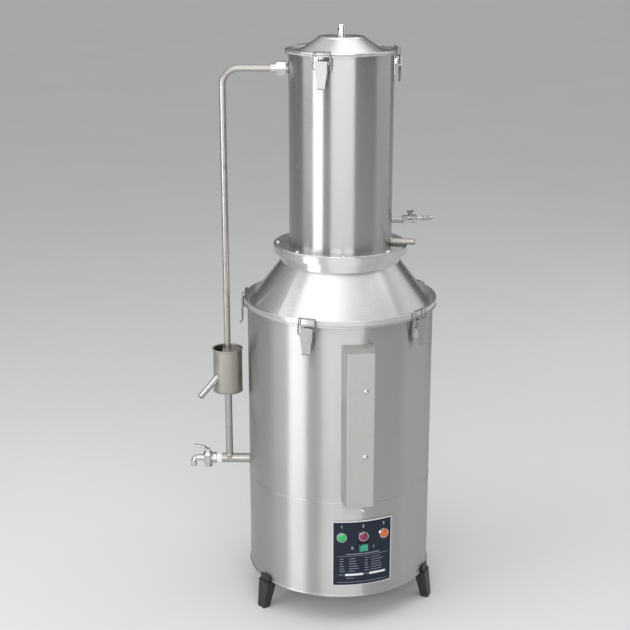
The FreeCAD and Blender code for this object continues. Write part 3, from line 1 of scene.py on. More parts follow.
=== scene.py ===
# %% [markdown]
# # A laboratory water still in polished steel
# The still is a tower: a wide boiler on a base with a control panel, a cone hood bolted to a
# slim condenser, and a latched lid. A return pipe on the left drops into a small level cup.
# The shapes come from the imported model, which this lesson never moves. What is added here is
# what a maker would see up close: polish, grain, welds, tape, printed marks and studio light.

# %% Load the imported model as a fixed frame
import math
import random

import bmesh
import bpy
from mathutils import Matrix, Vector


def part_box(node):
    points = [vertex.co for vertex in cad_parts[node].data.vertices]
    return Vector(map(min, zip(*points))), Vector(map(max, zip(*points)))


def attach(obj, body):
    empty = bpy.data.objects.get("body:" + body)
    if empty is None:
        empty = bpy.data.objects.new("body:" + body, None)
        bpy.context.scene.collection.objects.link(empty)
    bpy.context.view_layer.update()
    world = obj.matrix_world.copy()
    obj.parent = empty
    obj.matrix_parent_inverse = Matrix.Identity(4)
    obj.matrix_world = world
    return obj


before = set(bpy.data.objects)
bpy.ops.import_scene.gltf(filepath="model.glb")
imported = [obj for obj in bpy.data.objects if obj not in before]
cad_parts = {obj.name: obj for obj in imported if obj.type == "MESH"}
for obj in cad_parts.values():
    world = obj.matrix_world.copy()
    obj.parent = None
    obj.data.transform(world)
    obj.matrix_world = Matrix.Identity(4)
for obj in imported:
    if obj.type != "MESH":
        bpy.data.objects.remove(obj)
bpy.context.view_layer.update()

# %% [markdown]
# ## The camera
# The photograph was taken from a little above the lid with a long lens, tilted down so that the
# walls narrow slightly towards the floor. The focal length in pixels was read from how much the
# ellipses of the rims open from the lid to the base; the still stands just right of the middle,
# so the camera is turned a touch to the left instead of being shifted.

# %% Camera
PICTURE = 630
FOCAL_PIXELS = 1300
SENSOR = 36.0
AXIS_COLUMN = 341
TILT = 16.6

lens = bpy.data.cameras.new("lens")
lens.sensor_width = SENSOR
lens.lens = FOCAL_PIXELS / PICTURE * SENSOR
camera = bpy.data.objects.new("camera", lens)
bpy.context.scene.collection.objects.link(camera)
camera.location = (0.0, -2.300, 1.225)
turn = math.atan((AXIS_COLUMN - PICTURE / 2) / FOCAL_PIXELS)
camera.rotation_euler = (math.radians(90 - TILT), 0.0, turn)
bpy.context.scene.camera = camera
print("lens %.1f mm, turned %.2f degrees" % (lens.lens, math.degrees(turn)))

# %% [markdown]
# ## Wiring a finish
# Every finish is a small tree of shader nodes. A few helpers keep the trees short: `step` adds
# one node with its inputs, and `new_finish` makes a material with the plain values set on the
# shader's own sockets, which is where an exporter looks for them. The rest name common steps.

# %% Helpers for finishes
def step(tree, kind, inputs, out=0, **settings):
    """Add one shader node; an input is a plain value or another node's socket."""
    node = tree.nodes.new("ShaderNode" + kind)
    for name, value in settings.items():
        setattr(node, name, value)
    for key, value in inputs.items():
        if isinstance(value, bpy.types.NodeSocket):
            tree.links.new(value, node.inputs[key])
        else:
            node.inputs[key].default_value = value
    return node.outputs[out]


def new_finish(name, colour, roughness, metallic=0.0, **plain):
    finish = bpy.data.materials.new(name)
    finish.use_nodes = True
    shader = finish.node_tree.nodes["Principled BSDF"]
    shader.inputs["Base Color"].default_value = (*colour, 1.0)
    shader.inputs["Roughness"].default_value = roughness
    shader.inputs["Metallic"].default_value = metallic
    for key, value in plain.items():
        shader.inputs[key.replace("_", " ")].default_value = value
    return finish, finish.node_tree, shader


def vary(tree, amount, low, high):
    """A value that runs from low to high as amount runs from 0.3 to 0.7."""
    return step(tree, "MapRange", {"Value": amount, "From Min": 0.3, "From Max": 0.7,
                                   "To Min": low, "To Max": high})


def tint(tree, amount, dark, light):
    """A colour between two colours."""
    return step(tree, "Mix", {"Factor": amount, 6: (*dark, 1.0), 7: (*light, 1.0)}, out=2,
                data_type="RGBA")


def cloud(tree, vector, scale, detail=3.0, rough=0.5):
    return step(tree, "TexNoise", {"Vector": vector, "Scale": scale, "Detail": detail,
                                   "Roughness": rough})


def emboss(tree, shader, height, strength, depth, under=None):
    """Raise the surface by a height pattern, over another such pattern if one is given."""
    inputs = {"Height": height, "Strength": strength, "Distance": depth}
    if under is not None:
        inputs["Normal"] = under
    normal = step(tree, "Bump", inputs)
    tree.links.new(normal, shader.inputs["Normal"])
    return normal


print("helpers ready")

# %% [markdown]
# ## Polished sheet
# The shells are stainless sheet, rolled into cylinders and polished round and round on a
# lathe. The polish leaves fine rings, so a lamp's reflection is narrow across the wall and
# stretched along it: that is what makes the tall bright bands on such vessels. An anisotropic
# shader does the same with its tangent set upright. Noise in cylinder coordinates, dense in
# height and slow around, gives the rings; slow clouds give the faint hand-wiped patches.

# %% Cylinder coordinates and the polished sheet
def around_axis(tree):
    """Coordinates wrapped round the still's axis: angle from the front, radius, height."""
    here = step(tree, "TexCoord", {}, out="Object")
    split = tree.nodes.new("ShaderNodeSeparateXYZ")
    tree.links.new(here, split.inputs[0])
    front = step(tree, "Math", {0: split.outputs["Y"], 1: -1.0}, operation="MULTIPLY")
    angle = step(tree, "Math", {0: split.outputs["X"], 1: front}, operation="ARCTAN2")
    flat = step(tree, "CombineXYZ", {"X": split.outputs["X"], "Y": split.outputs["Y"]})
    radius = step(tree, "VectorMath", {0: flat}, out="Value", operation="LENGTH")
    return step(tree, "CombineXYZ", {"X": angle, "Y": radius, "Z": split.outputs["Z"]})


def stretched(tree, vector, x, y, z):
    return step(tree, "VectorMath", {0: vector, 1: (x, y, z)}, operation="MULTIPLY")


def polished_sheet(name, colour, roughness, stretch, rings, buckle):
    """Ring-polished stainless: rings is how many scratches a metre, buckle how wavy the sheet."""
    finish, tree, shader = new_finish(name, colour, roughness, 1.0, Anisotropic=stretch,
                                      Anisotropic_Rotation=0.25)
    tangent = step(tree, "Tangent", {}, direction_type="RADIAL", axis="Z")
    tree.links.new(tangent, shader.inputs["Tangent"])
    wrapped = around_axis(tree)
    scratch = cloud(tree, stretched(tree, wrapped, 1.3, rings, rings), 1.0, 4.0, 0.65)
    patches = cloud(tree, stretched(tree, wrapped, 1.6, 5.0, 4.0), 1.0, 4.0)
    dark = tuple(0.90 * part for part in colour)
    light = tuple(min(1.0, 1.05 * part) for part in colour)
    tree.links.new(tint(tree, vary(tree, patches, 0.0, 1.0), dark, light),
                   shader.inputs["Base Color"])
    grain = step(tree, "Math", {0: scratch, 1: 0.5, 2: patches}, operation="MULTIPLY_ADD")
    tree.links.new(step(tree, "MapRange", {"Value": grain, "From Min": 0.4, "From Max": 1.1,
                                           "To Min": roughness * 0.75,
                                           "To Max": roughness * 1.35}),
                   shader.inputs["Roughness"])
    waves = cloud(tree, stretched(tree, wrapped, 1.7, 6.0, 2.4), 1.0, 1.0)
    slow = emboss(tree, shader, waves, 0.35, buckle)
    emboss(tree, shader, scratch, 0.10, 0.00006, slow)
    return finish


STEEL = (0.56, 0.56, 0.555)
shell_steel = polished_sheet("shell_steel", STEEL, 0.35, 1.0, 900.0, 0.0010)
column_steel = polished_sheet("column_steel", (0.47, 0.47, 0.475), 0.29, 0.96, 900.0, 0.0007)
hood_steel = polished_sheet("hood_steel", (0.72, 0.72, 0.72), 0.25, 0.70, 700.0, 0.0006)
inner_steel = polished_sheet("inner_steel", (0.50, 0.50, 0.49), 0.34, 0.40, 500.0, 0.0008)
print("sheet finishes", [sheet.name for sheet in
                         (shell_steel, column_steel, hood_steel, inner_steel)])

# %% [markdown]
# ## Drawn tube, plated fittings and satin sheet
# Tube is drawn through a die, which leaves lines along it and a slightly warmer, duller skin
# than polished sheet. Taps and nuts are cast or turned, then plated: smooth and bright, with
# a faint unevenness under the plating and dull spots where hands and tools touch them. The
# heater cover is folded from sheet with a bead-blasted, almost matt skin.

# %% Tube, plating, satin sheet and wire
def metal_skin(name, colour, roughness, size, depth, spots=0.25):
    """Metal with clouds of the given size a metre in its gloss and a shallow unevenness."""
    finish, tree, shader = new_finish(name, colour, roughness, 1.0)
    here = step(tree, "TexCoord", {}, out="Object")
    clouds = cloud(tree, here, size, 5.0, 0.6)
    fine = cloud(tree, here, size * 14.0, 3.0, 0.6)
    dark = tuple((1.0 - spots) * part for part in colour)
    tree.links.new(tint(tree, vary(tree, clouds, 0.0, 1.0), dark, colour),
                   shader.inputs["Base Color"])
    mixed = step(tree, "Math", {0: fine, 1: 0.4, 2: clouds}, operation="MULTIPLY_ADD")
    tree.links.new(step(tree, "MapRange", {"Value": mixed, "From Min": 0.45, "From Max": 0.95,
                                           "To Min": roughness * 0.7, "To Max": roughness * 1.5}),
                   shader.inputs["Roughness"])
    emboss(tree, shader, mixed, 0.25, depth)
    return finish


tube_steel = metal_skin("tube_steel", (0.47, 0.455, 0.43), 0.30, 60.0, 0.00006, 0.10)
cup_steel = metal_skin("cup_steel", (0.42, 0.40, 0.37), 0.42, 45.0, 0.0001, 0.10)
bright_plate = metal_skin("bright_plate", (0.64, 0.64, 0.65), 0.15, 90.0, 0.0002, 0.15)
pressed_steel = metal_skin("pressed_steel", (0.46, 0.46, 0.465), 0.34, 110.0, 0.0001, 0.15)
dull_plate = metal_skin("dull_plate", (0.30, 0.30, 0.31), 0.30, 120.0, 0.0002)
sprung_wire = metal_skin("sprung_wire", (0.34, 0.34, 0.35), 0.26, 150.0, 0.0001)
cover_sheet = metal_skin("cover_sheet", (0.56, 0.555, 0.54), 0.50, 30.0, 0.0003, 0.06)
nickel_rod = metal_skin("nickel_rod", (0.62, 0.47, 0.33), 0.35, 80.0, 0.0002)
print("metal skins ready")

# %% [markdown]
# ## Enamel, rubber and moulded plastic
# The panel is a navy enamelled plate: a dark colour under a thin clear gloss with a slight
# orange-peel. The gaskets are white silicone, which lets light in a little. Feet, switch and
# gland are moulded in black plastic with a fine spark-eroded grain; the lamp lenses and the
# rocker are glossy coloured plastic that light enters a little way.

# %% Enamel, rubber and plastics
def moulded(name, colour, roughness, grain, depth, spread=0.35, **plain):
    """Paint, rubber or plastic with a fine grain and slightly uneven colour."""
    finish, tree, shader = new_finish(name, colour, roughness, 0.0, **plain)
    here = step(tree, "TexCoord", {}, out="Object")
    clouds = cloud(tree, here, grain / 12.0, 4.0)
    pebble = cloud(tree, here, grain, 2.0)
    dark = tuple((1.0 - spread) * part for part in colour)
    tree.links.new(tint(tree, vary(tree, clouds, 0.0, 1.0), dark, colour),
                   shader.inputs["Base Color"])
    tree.links.new(vary(tree, clouds, roughness * 0.8, roughness * 1.25),
                   shader.inputs["Roughness"])
    emboss(tree, shader, pebble, 0.3, depth)
    return finish


navy_enamel = moulded("navy_enamel", (0.012, 0.019, 0.038), 0.52, 900.0, 0.00008,
                      Coat_Weight=0.08, Coat_Roughness=0.3, Specular_IOR_Level=0.25)
panel_ink = moulded("panel_ink", (0.78, 0.80, 0.84), 0.42, 1500.0, 0.00002, 0.12)
faint_ink = moulded("faint_ink", (0.36, 0.40, 0.48), 0.45, 1500.0, 0.00002, 0.3)
silicone = moulded("silicone", (0.80, 0.80, 0.77), 0.50, 700.0, 0.0001, 0.10,
                   Subsurface_Weight=0.15, Subsurface_Scale=0.003)
black_plastic = moulded("black_plastic", (0.022, 0.026, 0.024), 0.42, 1400.0, 0.00015)
switch_black = moulded("switch_black", (0.012, 0.013, 0.014), 0.28, 1800.0, 0.00005)
thread_tape = moulded("thread_tape", (0.82, 0.83, 0.84), 0.55, 1100.0, 0.0002, 0.12,
                      Subsurface_Weight=0.2, Subsurface_Scale=0.002)
LENS = {"Coat_Weight": 0.8, "Coat_Roughness": 0.05, "Subsurface_Weight": 0.35,
        "Subsurface_Scale": 0.004}
lens_green = moulded("lens_green", (0.02, 0.52, 0.14), 0.16, 500.0, 0.0002, 0.35, **LENS)
lens_red = moulded("lens_red", (0.26, 0.008, 0.085), 0.16, 500.0, 0.0002, 0.45, **LENS)
lens_amber = moulded("lens_amber", (0.72, 0.15, 0.02), 0.16, 500.0, 0.0002, 0.40, **LENS)
rocker_teal = moulded("rocker_teal", (0.01, 0.40, 0.27), 0.22, 600.0, 0.0001, 0.25, **LENS)
print("plastics ready")

# %% [markdown]
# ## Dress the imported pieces
# Most pieces already have their true shape, so they only need their finish. The table pairs
# each finish with the nodes that wear it. Levers and bails are many, so their names choose it.

# %% Give each node its finish
WEARS = {
    shell_steel: ("base_skirt", "boiler_shell"),
    column_steel: ("condenser_shell",),
    hood_steel: ("cone_hood", "condenser_base", "lid"),
    inner_steel: ("bottom_plate", "tube_sheets", "condenser_tubes", "steam_riser"),
    tube_steel: ("downpipe", "feed_pipe", "inlet_nipple", "distillate_outlet"),
    cup_steel: ("level_cup", "cup_cover"),
    bright_plate: ("overflow_spout", "union_nut", "tap_body", "tap_key", "tap_nut",
                   "valve_body", "hose_barb", "lamp_bezels", "dome_screws", "latch_pins",
                   "latch_plates"),
    dull_plate: ("valve_key",),
    silicone: ("boiler_gasket", "collar_gasket", "lid_gasket"),
    black_plastic: ("foot_front_left", "foot_right", "foot_rear", "terminal_block",
                    "cable_gland"),
    switch_black: ("rocker_housing",),
    rocker_teal: ("rocker_button",),
    cover_sheet: ("heater_cover",),
    nickel_rod: ("immersion_heaters",),
    navy_enamel: ("control_panel",),
    lens_green: ("lamp_green",),
    lens_red: ("lamp_red",),
    lens_amber: ("lamp_amber",),
}
finish_of = {node: finish for finish, nodes in WEARS.items() for node in nodes}
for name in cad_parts:
    if "_lever_" in name:
        finish_of[name] = pressed_steel
    elif "_bail_" in name:
        finish_of[name] = sprung_wire
for name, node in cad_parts.items():
    node.data.materials.clear()
    node.data.materials.append(finish_of[name])
print("dressed", len(finish_of), "of", len(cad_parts))

# %% [markdown]
# ## Making a piece
# Added pieces are built as closed meshes with bmesh. `ride_along` turns a bmesh into an object
# with smooth faces and its finish, and lets it ride on the body that carries it.

# %% Helper for added pieces
STILL = "still"


def ride_along(name, mesh, finish, body=STILL, smooth=True):
    bmesh.ops.recalc_face_normals(mesh, faces=mesh.faces[:])
    data = bpy.data.meshes.new(name)
    mesh.to_mesh(data)
    mesh.free()
    for face in data.polygons:
        face.use_smooth = smooth
    data.materials.append(finish)
    piece = bpy.data.objects.new(name, data)
    bpy.context.scene.collection.objects.link(piece)
    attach(piece, body)
    print("%s: %d faces on %s" % (name, len(data.polygons), body))
    return piece


def on_wall(azimuth, radius, height):
    """Point on an upright cylinder; azimuth is in degrees from the front, growing rightwards."""
    angle = math.radians(azimuth)
    return Vector((radius * math.sin(angle), -radius * math.cos(angle), height))


def tube_along(mesh, points, radii, sides=10, closed=False):
    """Sweep a round section along points and cap it, or join its ends."""
    rings = []
    count = len(points)
    normal = None
    for index, point in enumerate(points):
        ahead = points[(index + 1) % count] if closed or index < count - 1 else point
        behind = points[index - 1] if closed or index > 0 else point
        along = (ahead - behind).normalized()
        if normal is None:
            guide = Vector((0, 0, 1)) if abs(along.z) < 0.9 else Vector((1, 0, 0))
            normal = along.cross(guide).normalized()
        normal = (normal - along * normal.dot(along)).normalized()
        side = along.cross(normal)
        ring = []
        for spoke in range(sides):
            angle = math.tau * spoke / sides
            offset = normal * math.cos(angle) + side * math.sin(angle)
            ring.append(mesh.verts.new(point + offset * radii[index]))
        rings.append(ring)
    pairs = list(zip(rings, rings[1:])) + ([(rings[-1], rings[0])] if closed else [])
    for near, far in pairs:
        for spoke in range(sides):
            following = (spoke + 1) % sides
            mesh.faces.new((near[spoke], near[following], far[following], far[spoke]))
    if not closed:
        mesh.faces.new(rings[0])
        mesh.faces.new(list(reversed(rings[-1])))


print("piece helpers ready")

# %% [markdown]
# ## The printed panel
# The panel's legends are screen-printed in white: a fine frame, one plain number over each
# lamp, I and O beside the rocker, rules, and two blank fields for a plate. A print has almost
# no thickness, but it follows the curve of the plate, so each mark is a thin closed prism bent
# to the panel's radius and let a hair into it.

# %% Panel print
PANEL_AZIMUTH = 15.1
PANEL_HALF = 18.8
PANEL_LOW, PANEL_HIGH = 0.076, 0.204
PANEL_RADIUS = 0.1709
LAMP_HEIGHT = 0.173
LAMP_SPREAD = 13.2
ROCKER_HEIGHT = 0.1505
INK = 0.00007
MARK_STEP = 0.003


def ink_bar(mesh, left, right, low, high):
    """A printed bar between two arc lengths from the panel's middle and two heights."""
    pieces = max(1, round((right - left) / MARK_STEP))
    rows = []
    for index in range(pieces + 1):
        arc = left + (right - left) * index / pieces
        azimuth = PANEL_AZIMUTH + math.degrees(arc / PANEL_RADIUS)
        rows.append([mesh.verts.new(on_wall(azimuth, PANEL_RADIUS + out, height))
                     for out, height in ((INK, low), (INK, high), (-INK, high), (-INK, low))])
    for near, far in zip(rows, rows[1:]):
        for corner in range(4):
            following = (corner + 1) % 4
            mesh.faces.new((near[corner], far[corner], far[following], near[following]))
    mesh.faces.new(rows[0])
    mesh.faces.new(list(reversed(rows[-1])))


def ink_stroke(mesh, points, width):
    """A pen stroke through (arc, height) points, as short upright or level bars."""
    for (x0, z0), (x1, z1) in zip(points, points[1:]):
        ink_bar(mesh, min(x0, x1) - width / 2, max(x0, x1) + width / 2,
                min(z0, z1) - width / 2, max(z0, z1) + width / 2)


half_arc = PANEL_RADIUS * math.radians(PANEL_HALF)
FRAME_LINE = 0.0013
EDGE_GAP = 0.0002
TOP_LINE = 0.0026
FIELD_LOW, FIELD_HIGH = 0.0952, 0.0994
frame_print = bmesh.new()
ink_bar(frame_print, -half_arc, half_arc, PANEL_HIGH - TOP_LINE, PANEL_HIGH - EDGE_GAP)
ink_bar(frame_print, -half_arc, half_arc, PANEL_LOW + EDGE_GAP, PANEL_LOW + FRAME_LINE)
ink_bar(frame_print, -half_arc, -half_arc + FRAME_LINE, PANEL_LOW + FRAME_LINE,
        PANEL_HIGH - TOP_LINE)
ink_bar(frame_print, half_arc - FRAME_LINE, half_arc, PANEL_LOW + FRAME_LINE,
        PANEL_HIGH - TOP_LINE)
for left, right in ((-0.033, 0.0008), (0.0120, 0.0440)):
    ink_bar(frame_print, left, right, FIELD_LOW, FIELD_HIGH)
ride_along("panel_frame_print", frame_print, panel_ink, smooth=False)

# %% [markdown]
# The signs are drawn as pen strokes between points of a small square, so one table holds the
# three numbers and the I and O. Each stroke becomes level or upright bars of the same ink.

# %% Numbers over the lamps, I and O beside the rocker
DIGITS = {
    "1": [[(0.0, 1.0), (0.0, -1.0)], [(-0.45, 0.75), (0.0, 0.75)]],
    "2": [[(-0.6, 1.0), (0.6, 1.0)], [(0.6, 1.0), (0.6, 0.0)], [(0.6, 0.0), (-0.6, 0.0)],
          [(-0.6, 0.0), (-0.6, -1.0)], [(-0.6, -1.0), (0.6, -1.0)]],
    "3": [[(-0.6, 1.0), (0.6, 1.0)], [(0.6, 1.0), (0.6, -1.0)], [(-0.3, 0.0), (0.6, 0.0)],
          [(-0.6, -1.0), (0.6, -1.0)]],
    "I": [[(0.0, 1.0), (0.0, -1.0)]],
    "O": [[(-0.7, 1.0), (0.7, 1.0)], [(0.7, 1.0), (0.7, -1.0)], [(0.7, -1.0), (-0.7, -1.0)],
          [(-0.7, -1.0), (-0.7, 1.0)]],
}
LAMP_ARC = PANEL_RADIUS * math.radians(LAMP_SPREAD)
NUMBER_HEIGHT, NUMBER_TALL = 0.1925, 0.0023
ROCKER_ARC, MARK_TALL = 0.0200, 0.0021
STROKE = 0.0006
SIGNS = (("1", -LAMP_ARC, NUMBER_HEIGHT, NUMBER_TALL), ("2", 0.0, NUMBER_HEIGHT, NUMBER_TALL),
         ("3", LAMP_ARC, NUMBER_HEIGHT, NUMBER_TALL),
         ("O", -ROCKER_ARC, ROCKER_HEIGHT, MARK_TALL), ("I", ROCKER_ARC, ROCKER_HEIGHT, MARK_TALL))
legends = bmesh.new()
for sign, arc, height, tall in SIGNS:
    for run in DIGITS[sign]:
        ink_stroke(legends, [(arc + x * tall * 0.8, height + z * tall) for x, z in run], STROKE)
ride_along("panel_legends", legends, panel_ink, smooth=False)

# %% [markdown]
# The field below the rocker is laid out with short plain rules in a fainter ink. Their lengths
# are uneven, drawn from a seeded random number, so that each run gives the same field.

# %% Fine rules of the data field
random.seed(7)
rules = bmesh.new()
ink_bar(rules, -0.048, 0.049, 0.1343, 0.1348)
ink_bar(rules, -0.031, 0.032, 0.1377, 0.1390)
for row in range(6):
    height = 0.1293 - row * 0.0050
    for start, reach in ((-0.043, 0.010), (-0.026, 0.018), (0.003, 0.010), (0.015, 0.030)):
        ink_bar(rules, start, start + reach * random.uniform(0.6, 1.0), height - 0.0004,
                height + 0.0004)
ink_bar(rules, -0.044, -0.036, 0.0970, 0.0978)
ink_bar(rules, 0.0035, 0.0100, 0.0970, 0.0978)
ink_bar(rules, -0.030, -0.016, 0.0902, 0.0910)
ink_bar(rules, -0.047, 0.047, 0.0822, 0.0828)
ride_along("panel_rules", rules, faint_ink, smooth=False)

# %% [markdown]
# ## Weld beads
# Pipes that enter a shell are welded round by hand. The bead is a chain of overlapping
# puddles, so its thickness ripples a dozen times or more round the pipe. Its path is where a small
# cylinder meets a big one, which is simple to work out: a point of the pipe's circle, pushed
# out until it lies on the shell.

# %% Weld beads round the pipes
def weld_round(name, azimuth, height, pipe, shell, bead, puddles):
    """Bead round a radial pipe where it enters a shell of a given radius."""
    steps = puddles * 6
    points, radii = [], []
    for index in range(steps):
        angle = math.tau * index / steps
        across, up = pipe * math.cos(angle), pipe * math.sin(angle)
        out = math.sqrt(shell ** 2 - across ** 2)
        swing = math.radians(azimuth)
        points.append(Vector((out * math.sin(swing) + across * math.cos(swing),
                              -out * math.cos(swing) + across * math.sin(swing), height + up)))
        radii.append(bead * (0.86 + 0.14 * math.cos(angle * puddles)))
    mesh = bmesh.new()
    tube_along(mesh, points, radii, sides=8, closed=True)
    return ride_along(name, mesh, weld_steel)


LEFT = -90.0
FEED_HEIGHT, RETURN_HEIGHT = 0.254, 0.989
INLET_AZIMUTH, INLET_HEIGHT = 105.0, 0.713
BOILER_SKIN, CONDENSER_SKIN = 0.1702, 0.0926
weld_steel = metal_skin("weld_steel", (0.52, 0.50, 0.48), 0.30, 400.0, 0.0003, 0.35)
weld_round("weld_feed", LEFT, FEED_HEIGHT, 0.0096, BOILER_SKIN, 0.0015, 17)
weld_round("weld_inlet", INLET_AZIMUTH, INLET_HEIGHT, 0.0058, CONDENSER_SKIN, 0.0011, 12)
weld_round("weld_return_stub", LEFT, RETURN_HEIGHT, 0.0084, CONDENSER_SKIN, 0.0010, 14)

# %% [markdown]
# A rolled shell is closed by one long weld, which makers turn to the back. It is a straight,
# slender tube of uneven thickness, sunk so far into the sheet that only its crown stands out.

# %% Long seams at the back of the rolled shells
def long_seam(name, radius, low, high, proud):
    steps = int((high - low) / 0.004)
    points = [on_wall(180.0, radius, low + (high - low) * index / steps)
              for index in range(steps + 1)]
    radii = [proud * (0.85 + 0.15 * math.cos(index * 2.1)) for index in range(steps + 1)]
    mesh = bmesh.new()
    tube_along(mesh, points, radii, sides=8)
    return ride_along(name, mesh, weld_steel)


long_seam("seam_boiler", 0.1698, 0.240, 0.566, 0.0007)
long_seam("seam_base", 0.1698, 0.058, 0.235, 0.0007)
long_seam("seam_condenser", 0.0923, 0.682, 1.014, 0.0006)

# %% [markdown]
# ## Thread tape and hose barbs
# The tap screws into the feed pipe over a few turns of white tape, and a ragged edge of it
# shows. It is modelled as one closed ring whose layers step up and down and whose edge
# wanders. The hose tail has three saw-tooth ridges that hold a rubber hose.

# %% Rings turned about a radial axis
def radial_ring(name, azimuth, height, outline, finish, wobble=0.0, sides=40):
    """Turn a closed outline of (distance out, radius) about a level axis."""
    swing = math.radians(azimuth)
    out = Vector((math.sin(swing), -math.cos(swing), 0.0))
    across = Vector((math.cos(swing), math.sin(swing), 0.0))
    mesh = bmesh.new()
    rings = []
    for index in range(sides):
        angle = math.tau * index / sides
        spoke = across * math.cos(angle) + Vector((0, 0, math.sin(angle)))
        ring = []
        for reach, radius in outline:
            drift = wobble * (math.sin(3 * angle + reach * 900) + 0.6 * math.sin(7 * angle))
            ring.append(mesh.verts.new(out * (reach + drift) + spoke * (radius + drift * 0.25)
                                       + Vector((0, 0, height))))
        rings.append(ring)
    count = len(outline)
    for index in range(sides):
        near, far = rings[index], rings[(index + 1) % sides]
        for corner in range(count):
            following = (corner + 1) % count
            mesh.faces.new((near[corner], near[following], far[following], far[corner]))
    return ride_along(name, mesh, finish)


radial_ring("tap_thread_tape", LEFT, FEED_HEIGHT, [
    (0.2228, 0.0089), (0.2228, 0.0094), (0.2246, 0.0097), (0.2258, 0.0096), (0.2272, 0.0099),
    (0.2290, 0.0098), (0.2302, 0.0096), (0.2318, 0.0097), (0.2326, 0.0094), (0.2326, 0.0089)],
    thread_tape, wobble=0.00022, sides=72)
for number, reach in enumerate((0.1535, 0.1595, 0.1655), start=1):
    radial_ring("hose_barb_ridge_%d" % number, INLET_AZIMUTH, INLET_HEIGHT, [
        (reach, 0.0038), (reach, 0.0047), (reach + 0.0006, 0.0048), (reach + 0.0042, 0.0041),
        (reach + 0.0042, 0.0038)], bright_plate)

# %% [markdown]
# ## Rolled edges and ribbed lenses
# A cut sheet edge is sharp and weak, so the cup's mouth is rolled over a wire, its bottom is
# seamed, and a weld joins it to its riser. The lamp lenses are moulded with fine concentric
# ribs that spread the light of the small bulb behind them; those come at the end.

# %% Rings on any axis
def ring_on(name, middle, axis, radius, wire, finish, puddles=0):
    """Closed round ring; puddles ripples its thickness as a hand weld does."""
    axis = axis.normalized()
    guide = Vector((0, 0, 1)) if abs(axis.z) < 0.9 else Vector((1, 0, 0))
    first = axis.cross(guide).normalized()
    second = axis.cross(first)
    steps = max(48, puddles * 6)
    points, radii = [], []
    for index in range(steps):
        angle = math.tau * index / steps
        points.append(middle + (first * math.cos(angle) + second * math.sin(angle)) * radius)
        radii.append(wire * (1.0 if not puddles else 0.86 + 0.14 * math.cos(angle * puddles)))
    mesh = bmesh.new()
    tube_along(mesh, points, radii, sides=8, closed=True)
    return ride_along(name, mesh, finish)


UP = Vector((0.0, 0.0, 1.0))
cup_low, cup_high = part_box("level_cup")
cup_axis = Vector(((cup_low.x + cup_high.x) / 2, (cup_low.y + cup_high.y) / 2, 0.0))
cup_radius = (cup_high.y - cup_low.y) / 2
print("cup radius %.4f, mouth at %.4f" % (cup_radius, cup_high.z))
ring_on("cup_rolled_rim", cup_axis + UP * (cup_high.z - 0.0009), UP, cup_radius, 0.0008,
        cup_steel)
ring_on("cup_bottom_seam", cup_axis + UP * (cup_low.z + 0.0012), UP, cup_radius, 0.0006,
        cup_steel)
ring_on("weld_cup_riser", cup_axis + UP * (cup_low.z - 0.0003), UP, 0.0072, 0.0011,
        weld_steel, puddles=12)

# %% [markdown]
# The shells end in rolled beads too. Seen from the front they are the thin bright lines round
# the boiler's rim, along the joint between boiler and base, and on the edge of the collar's
# tray. Each is a slender ring laid into the edge. The rim's lower edge has none, because the
# closed latch levers lie close against it and a ring there would cut into them.

# %% Beads on the shells' edges
rim_low, rim_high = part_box("boiler_shell")
rim_radius = (rim_high.x - rim_low.x) / 2
tray_low, tray_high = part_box("cone_hood")
skirt_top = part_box("base_skirt")[1].z
print("rim radius %.4f, tray edge at %.4f, joint at %.4f" % (rim_radius, tray_high.z, skirt_top))
BEAD = 0.0008
BOILER_WALL = 0.170
TRAY_RADIUS = 0.121
for name, radius, height in (("rim_bead_high", rim_radius, rim_high.z - 2 * BEAD),
                             ("joint_bead", BOILER_WALL, skirt_top + 0.0014),
                             ("tray_bead", TRAY_RADIUS, tray_high.z - 1.5 * BEAD)):
    ring_on(name, UP * height, UP, radius, BEAD, bright_plate)

# %% [markdown]
# Each lens is a shallow dome. A rib is a thin ring in the lens's own plastic, set back from the
# tip by the dome's sag at that radius, so that all three rings lie on its surface.

# %% Ribs on the lamp lenses
LENS_TIP = PANEL_RADIUS + 0.0064
DOME_RADIUS = 0.01326
LENSES = (("lamp_green", lens_green), ("lamp_red", lens_red), ("lamp_amber", lens_amber))
for place, (lamp, finish) in enumerate(LENSES, start=-1):
    azimuth = PANEL_AZIMUTH + LAMP_SPREAD * place
    outward = on_wall(azimuth, 1.0, 0.0)
    for rib in (0.0055, 0.0037, 0.0019):
        sag = DOME_RADIUS - math.sqrt(DOME_RADIUS ** 2 - rib ** 2)
        ring_on("%s_rib_%d" % (lamp, rib * 10000), on_wall(azimuth, LENS_TIP - sag, LAMP_HEIGHT),
                outward, rib, 0.00028, finish)

# %% [markdown]
# ## Light and floor
# Polished steel shows its surroundings, so the light is the finish. Two soft lamps stand on the
# left, one low and strong, one high and weak, and draw the bright bands on that side. A wide one
# stands behind the camera, a broad dim one lights the right, and the largest hangs overhead and
# brightens the slope of the hood. All of it is white and soft on a plain pale floor.

# %% Soft lamps
def soft_lamp(name, azimuth, distance, low, wide, tall, glow, tip=0.0):
    """Rectangular lamp facing the still's axis, its foot at height low; tip turns it down."""
    swing = math.radians(azimuth)
    middle = Vector((distance * math.sin(swing), -distance * math.cos(swing), low + tall / 2))
    data = bpy.data.lights.new(name, "AREA")
    data.shape = "RECTANGLE"
    data.size, data.size_y = wide, tall
    data.energy = glow * math.pi * wide * tall
    lamp = bpy.data.objects.new(name, data)
    lamp.location = middle
    lamp.rotation_euler = (math.radians(90.0 - tip), 0.0, swing)
    bpy.context.scene.collection.objects.link(lamp)
    print("%s at %s, %.0f W" % (name, tuple(round(v, 2) for v in middle), data.energy))


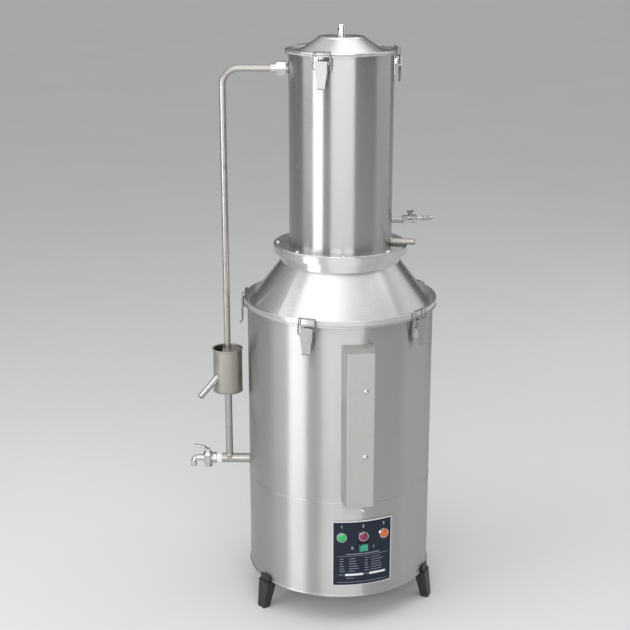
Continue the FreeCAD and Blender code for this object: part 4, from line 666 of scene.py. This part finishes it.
soft_lamp("left_low_bank", -50.0, 2.1, 0.22, 0.80, 0.85, 5.2)
soft_lamp("left_high_bank", -74.0, 2.1, 0.90, 1.20, 1.1, 1.9)
soft_lamp("front_bank", 4.0, 3.3, 0.45, 3.1, 2.3, 2.5)
soft_lamp("right_bank", 108.0, 2.5, 0.45, 2.4, 1.8, 0.50)
soft_lamp("overhead_bank", 30.0, 0.4, 1.8, 4.6, 1.9, 1.10, tip=90.0)

# %% [markdown]
# The room is a plain grey world, darker near the horizon and on the right, so that the steel has
# something quiet to mirror between the lamps. The floor is one wide pale disc with a faint
# speckle.

# %% Room and floor
room = bpy.data.worlds.new("room")
bpy.context.scene.world = room
room.use_nodes = True
tree = room.node_tree
direction = step(tree, "TexCoord", {}, out="Generated")
split = tree.nodes.new("ShaderNodeSeparateXYZ")
tree.links.new(direction, split.inputs[0])
ceiling = step(tree, "MapRange", {"Value": split.outputs["Z"], "From Min": 0.10,
                                  "From Max": 0.80, "To Min": 0.09, "To Max": 0.75})
fall_off = step(tree, "MapRange", {"Value": split.outputs["X"], "From Min": -0.8,
                                   "From Max": 0.7, "To Min": 1.1, "To Max": 0.75})
glow = step(tree, "Math", {0: ceiling, 1: fall_off}, operation="MULTIPLY")
shade = step(tree, "CombineColor", {"Red": glow, "Green": glow, "Blue": glow})
tree.links.new(shade, tree.nodes["Background"].inputs["Color"])

floor_mesh = bmesh.new()
bmesh.ops.create_circle(floor_mesh, cap_ends=True, radius=24.0, segments=96)
floor_data = bpy.data.meshes.new("floor")
floor_mesh.to_mesh(floor_data)
floor_mesh.free()
floor = bpy.data.objects.new("floor", floor_data)
bpy.context.scene.collection.objects.link(floor)
pale_floor, tree, shader = new_finish("pale_floor", (0.71, 0.715, 0.72), 0.8)
speckle = cloud(tree, step(tree, "TexCoord", {}, out="Object"), 1.5, 5.0)
tree.links.new(tint(tree, vary(tree, speckle, 0.0, 1.0),
                    (0.70, 0.705, 0.71), (0.72, 0.725, 0.73)), shader.inputs["Base Color"])
floor_data.materials.append(pale_floor)
bpy.context.scene.view_settings.view_transform = "Standard"
print("floor", floor.dimensions.x, "m across")
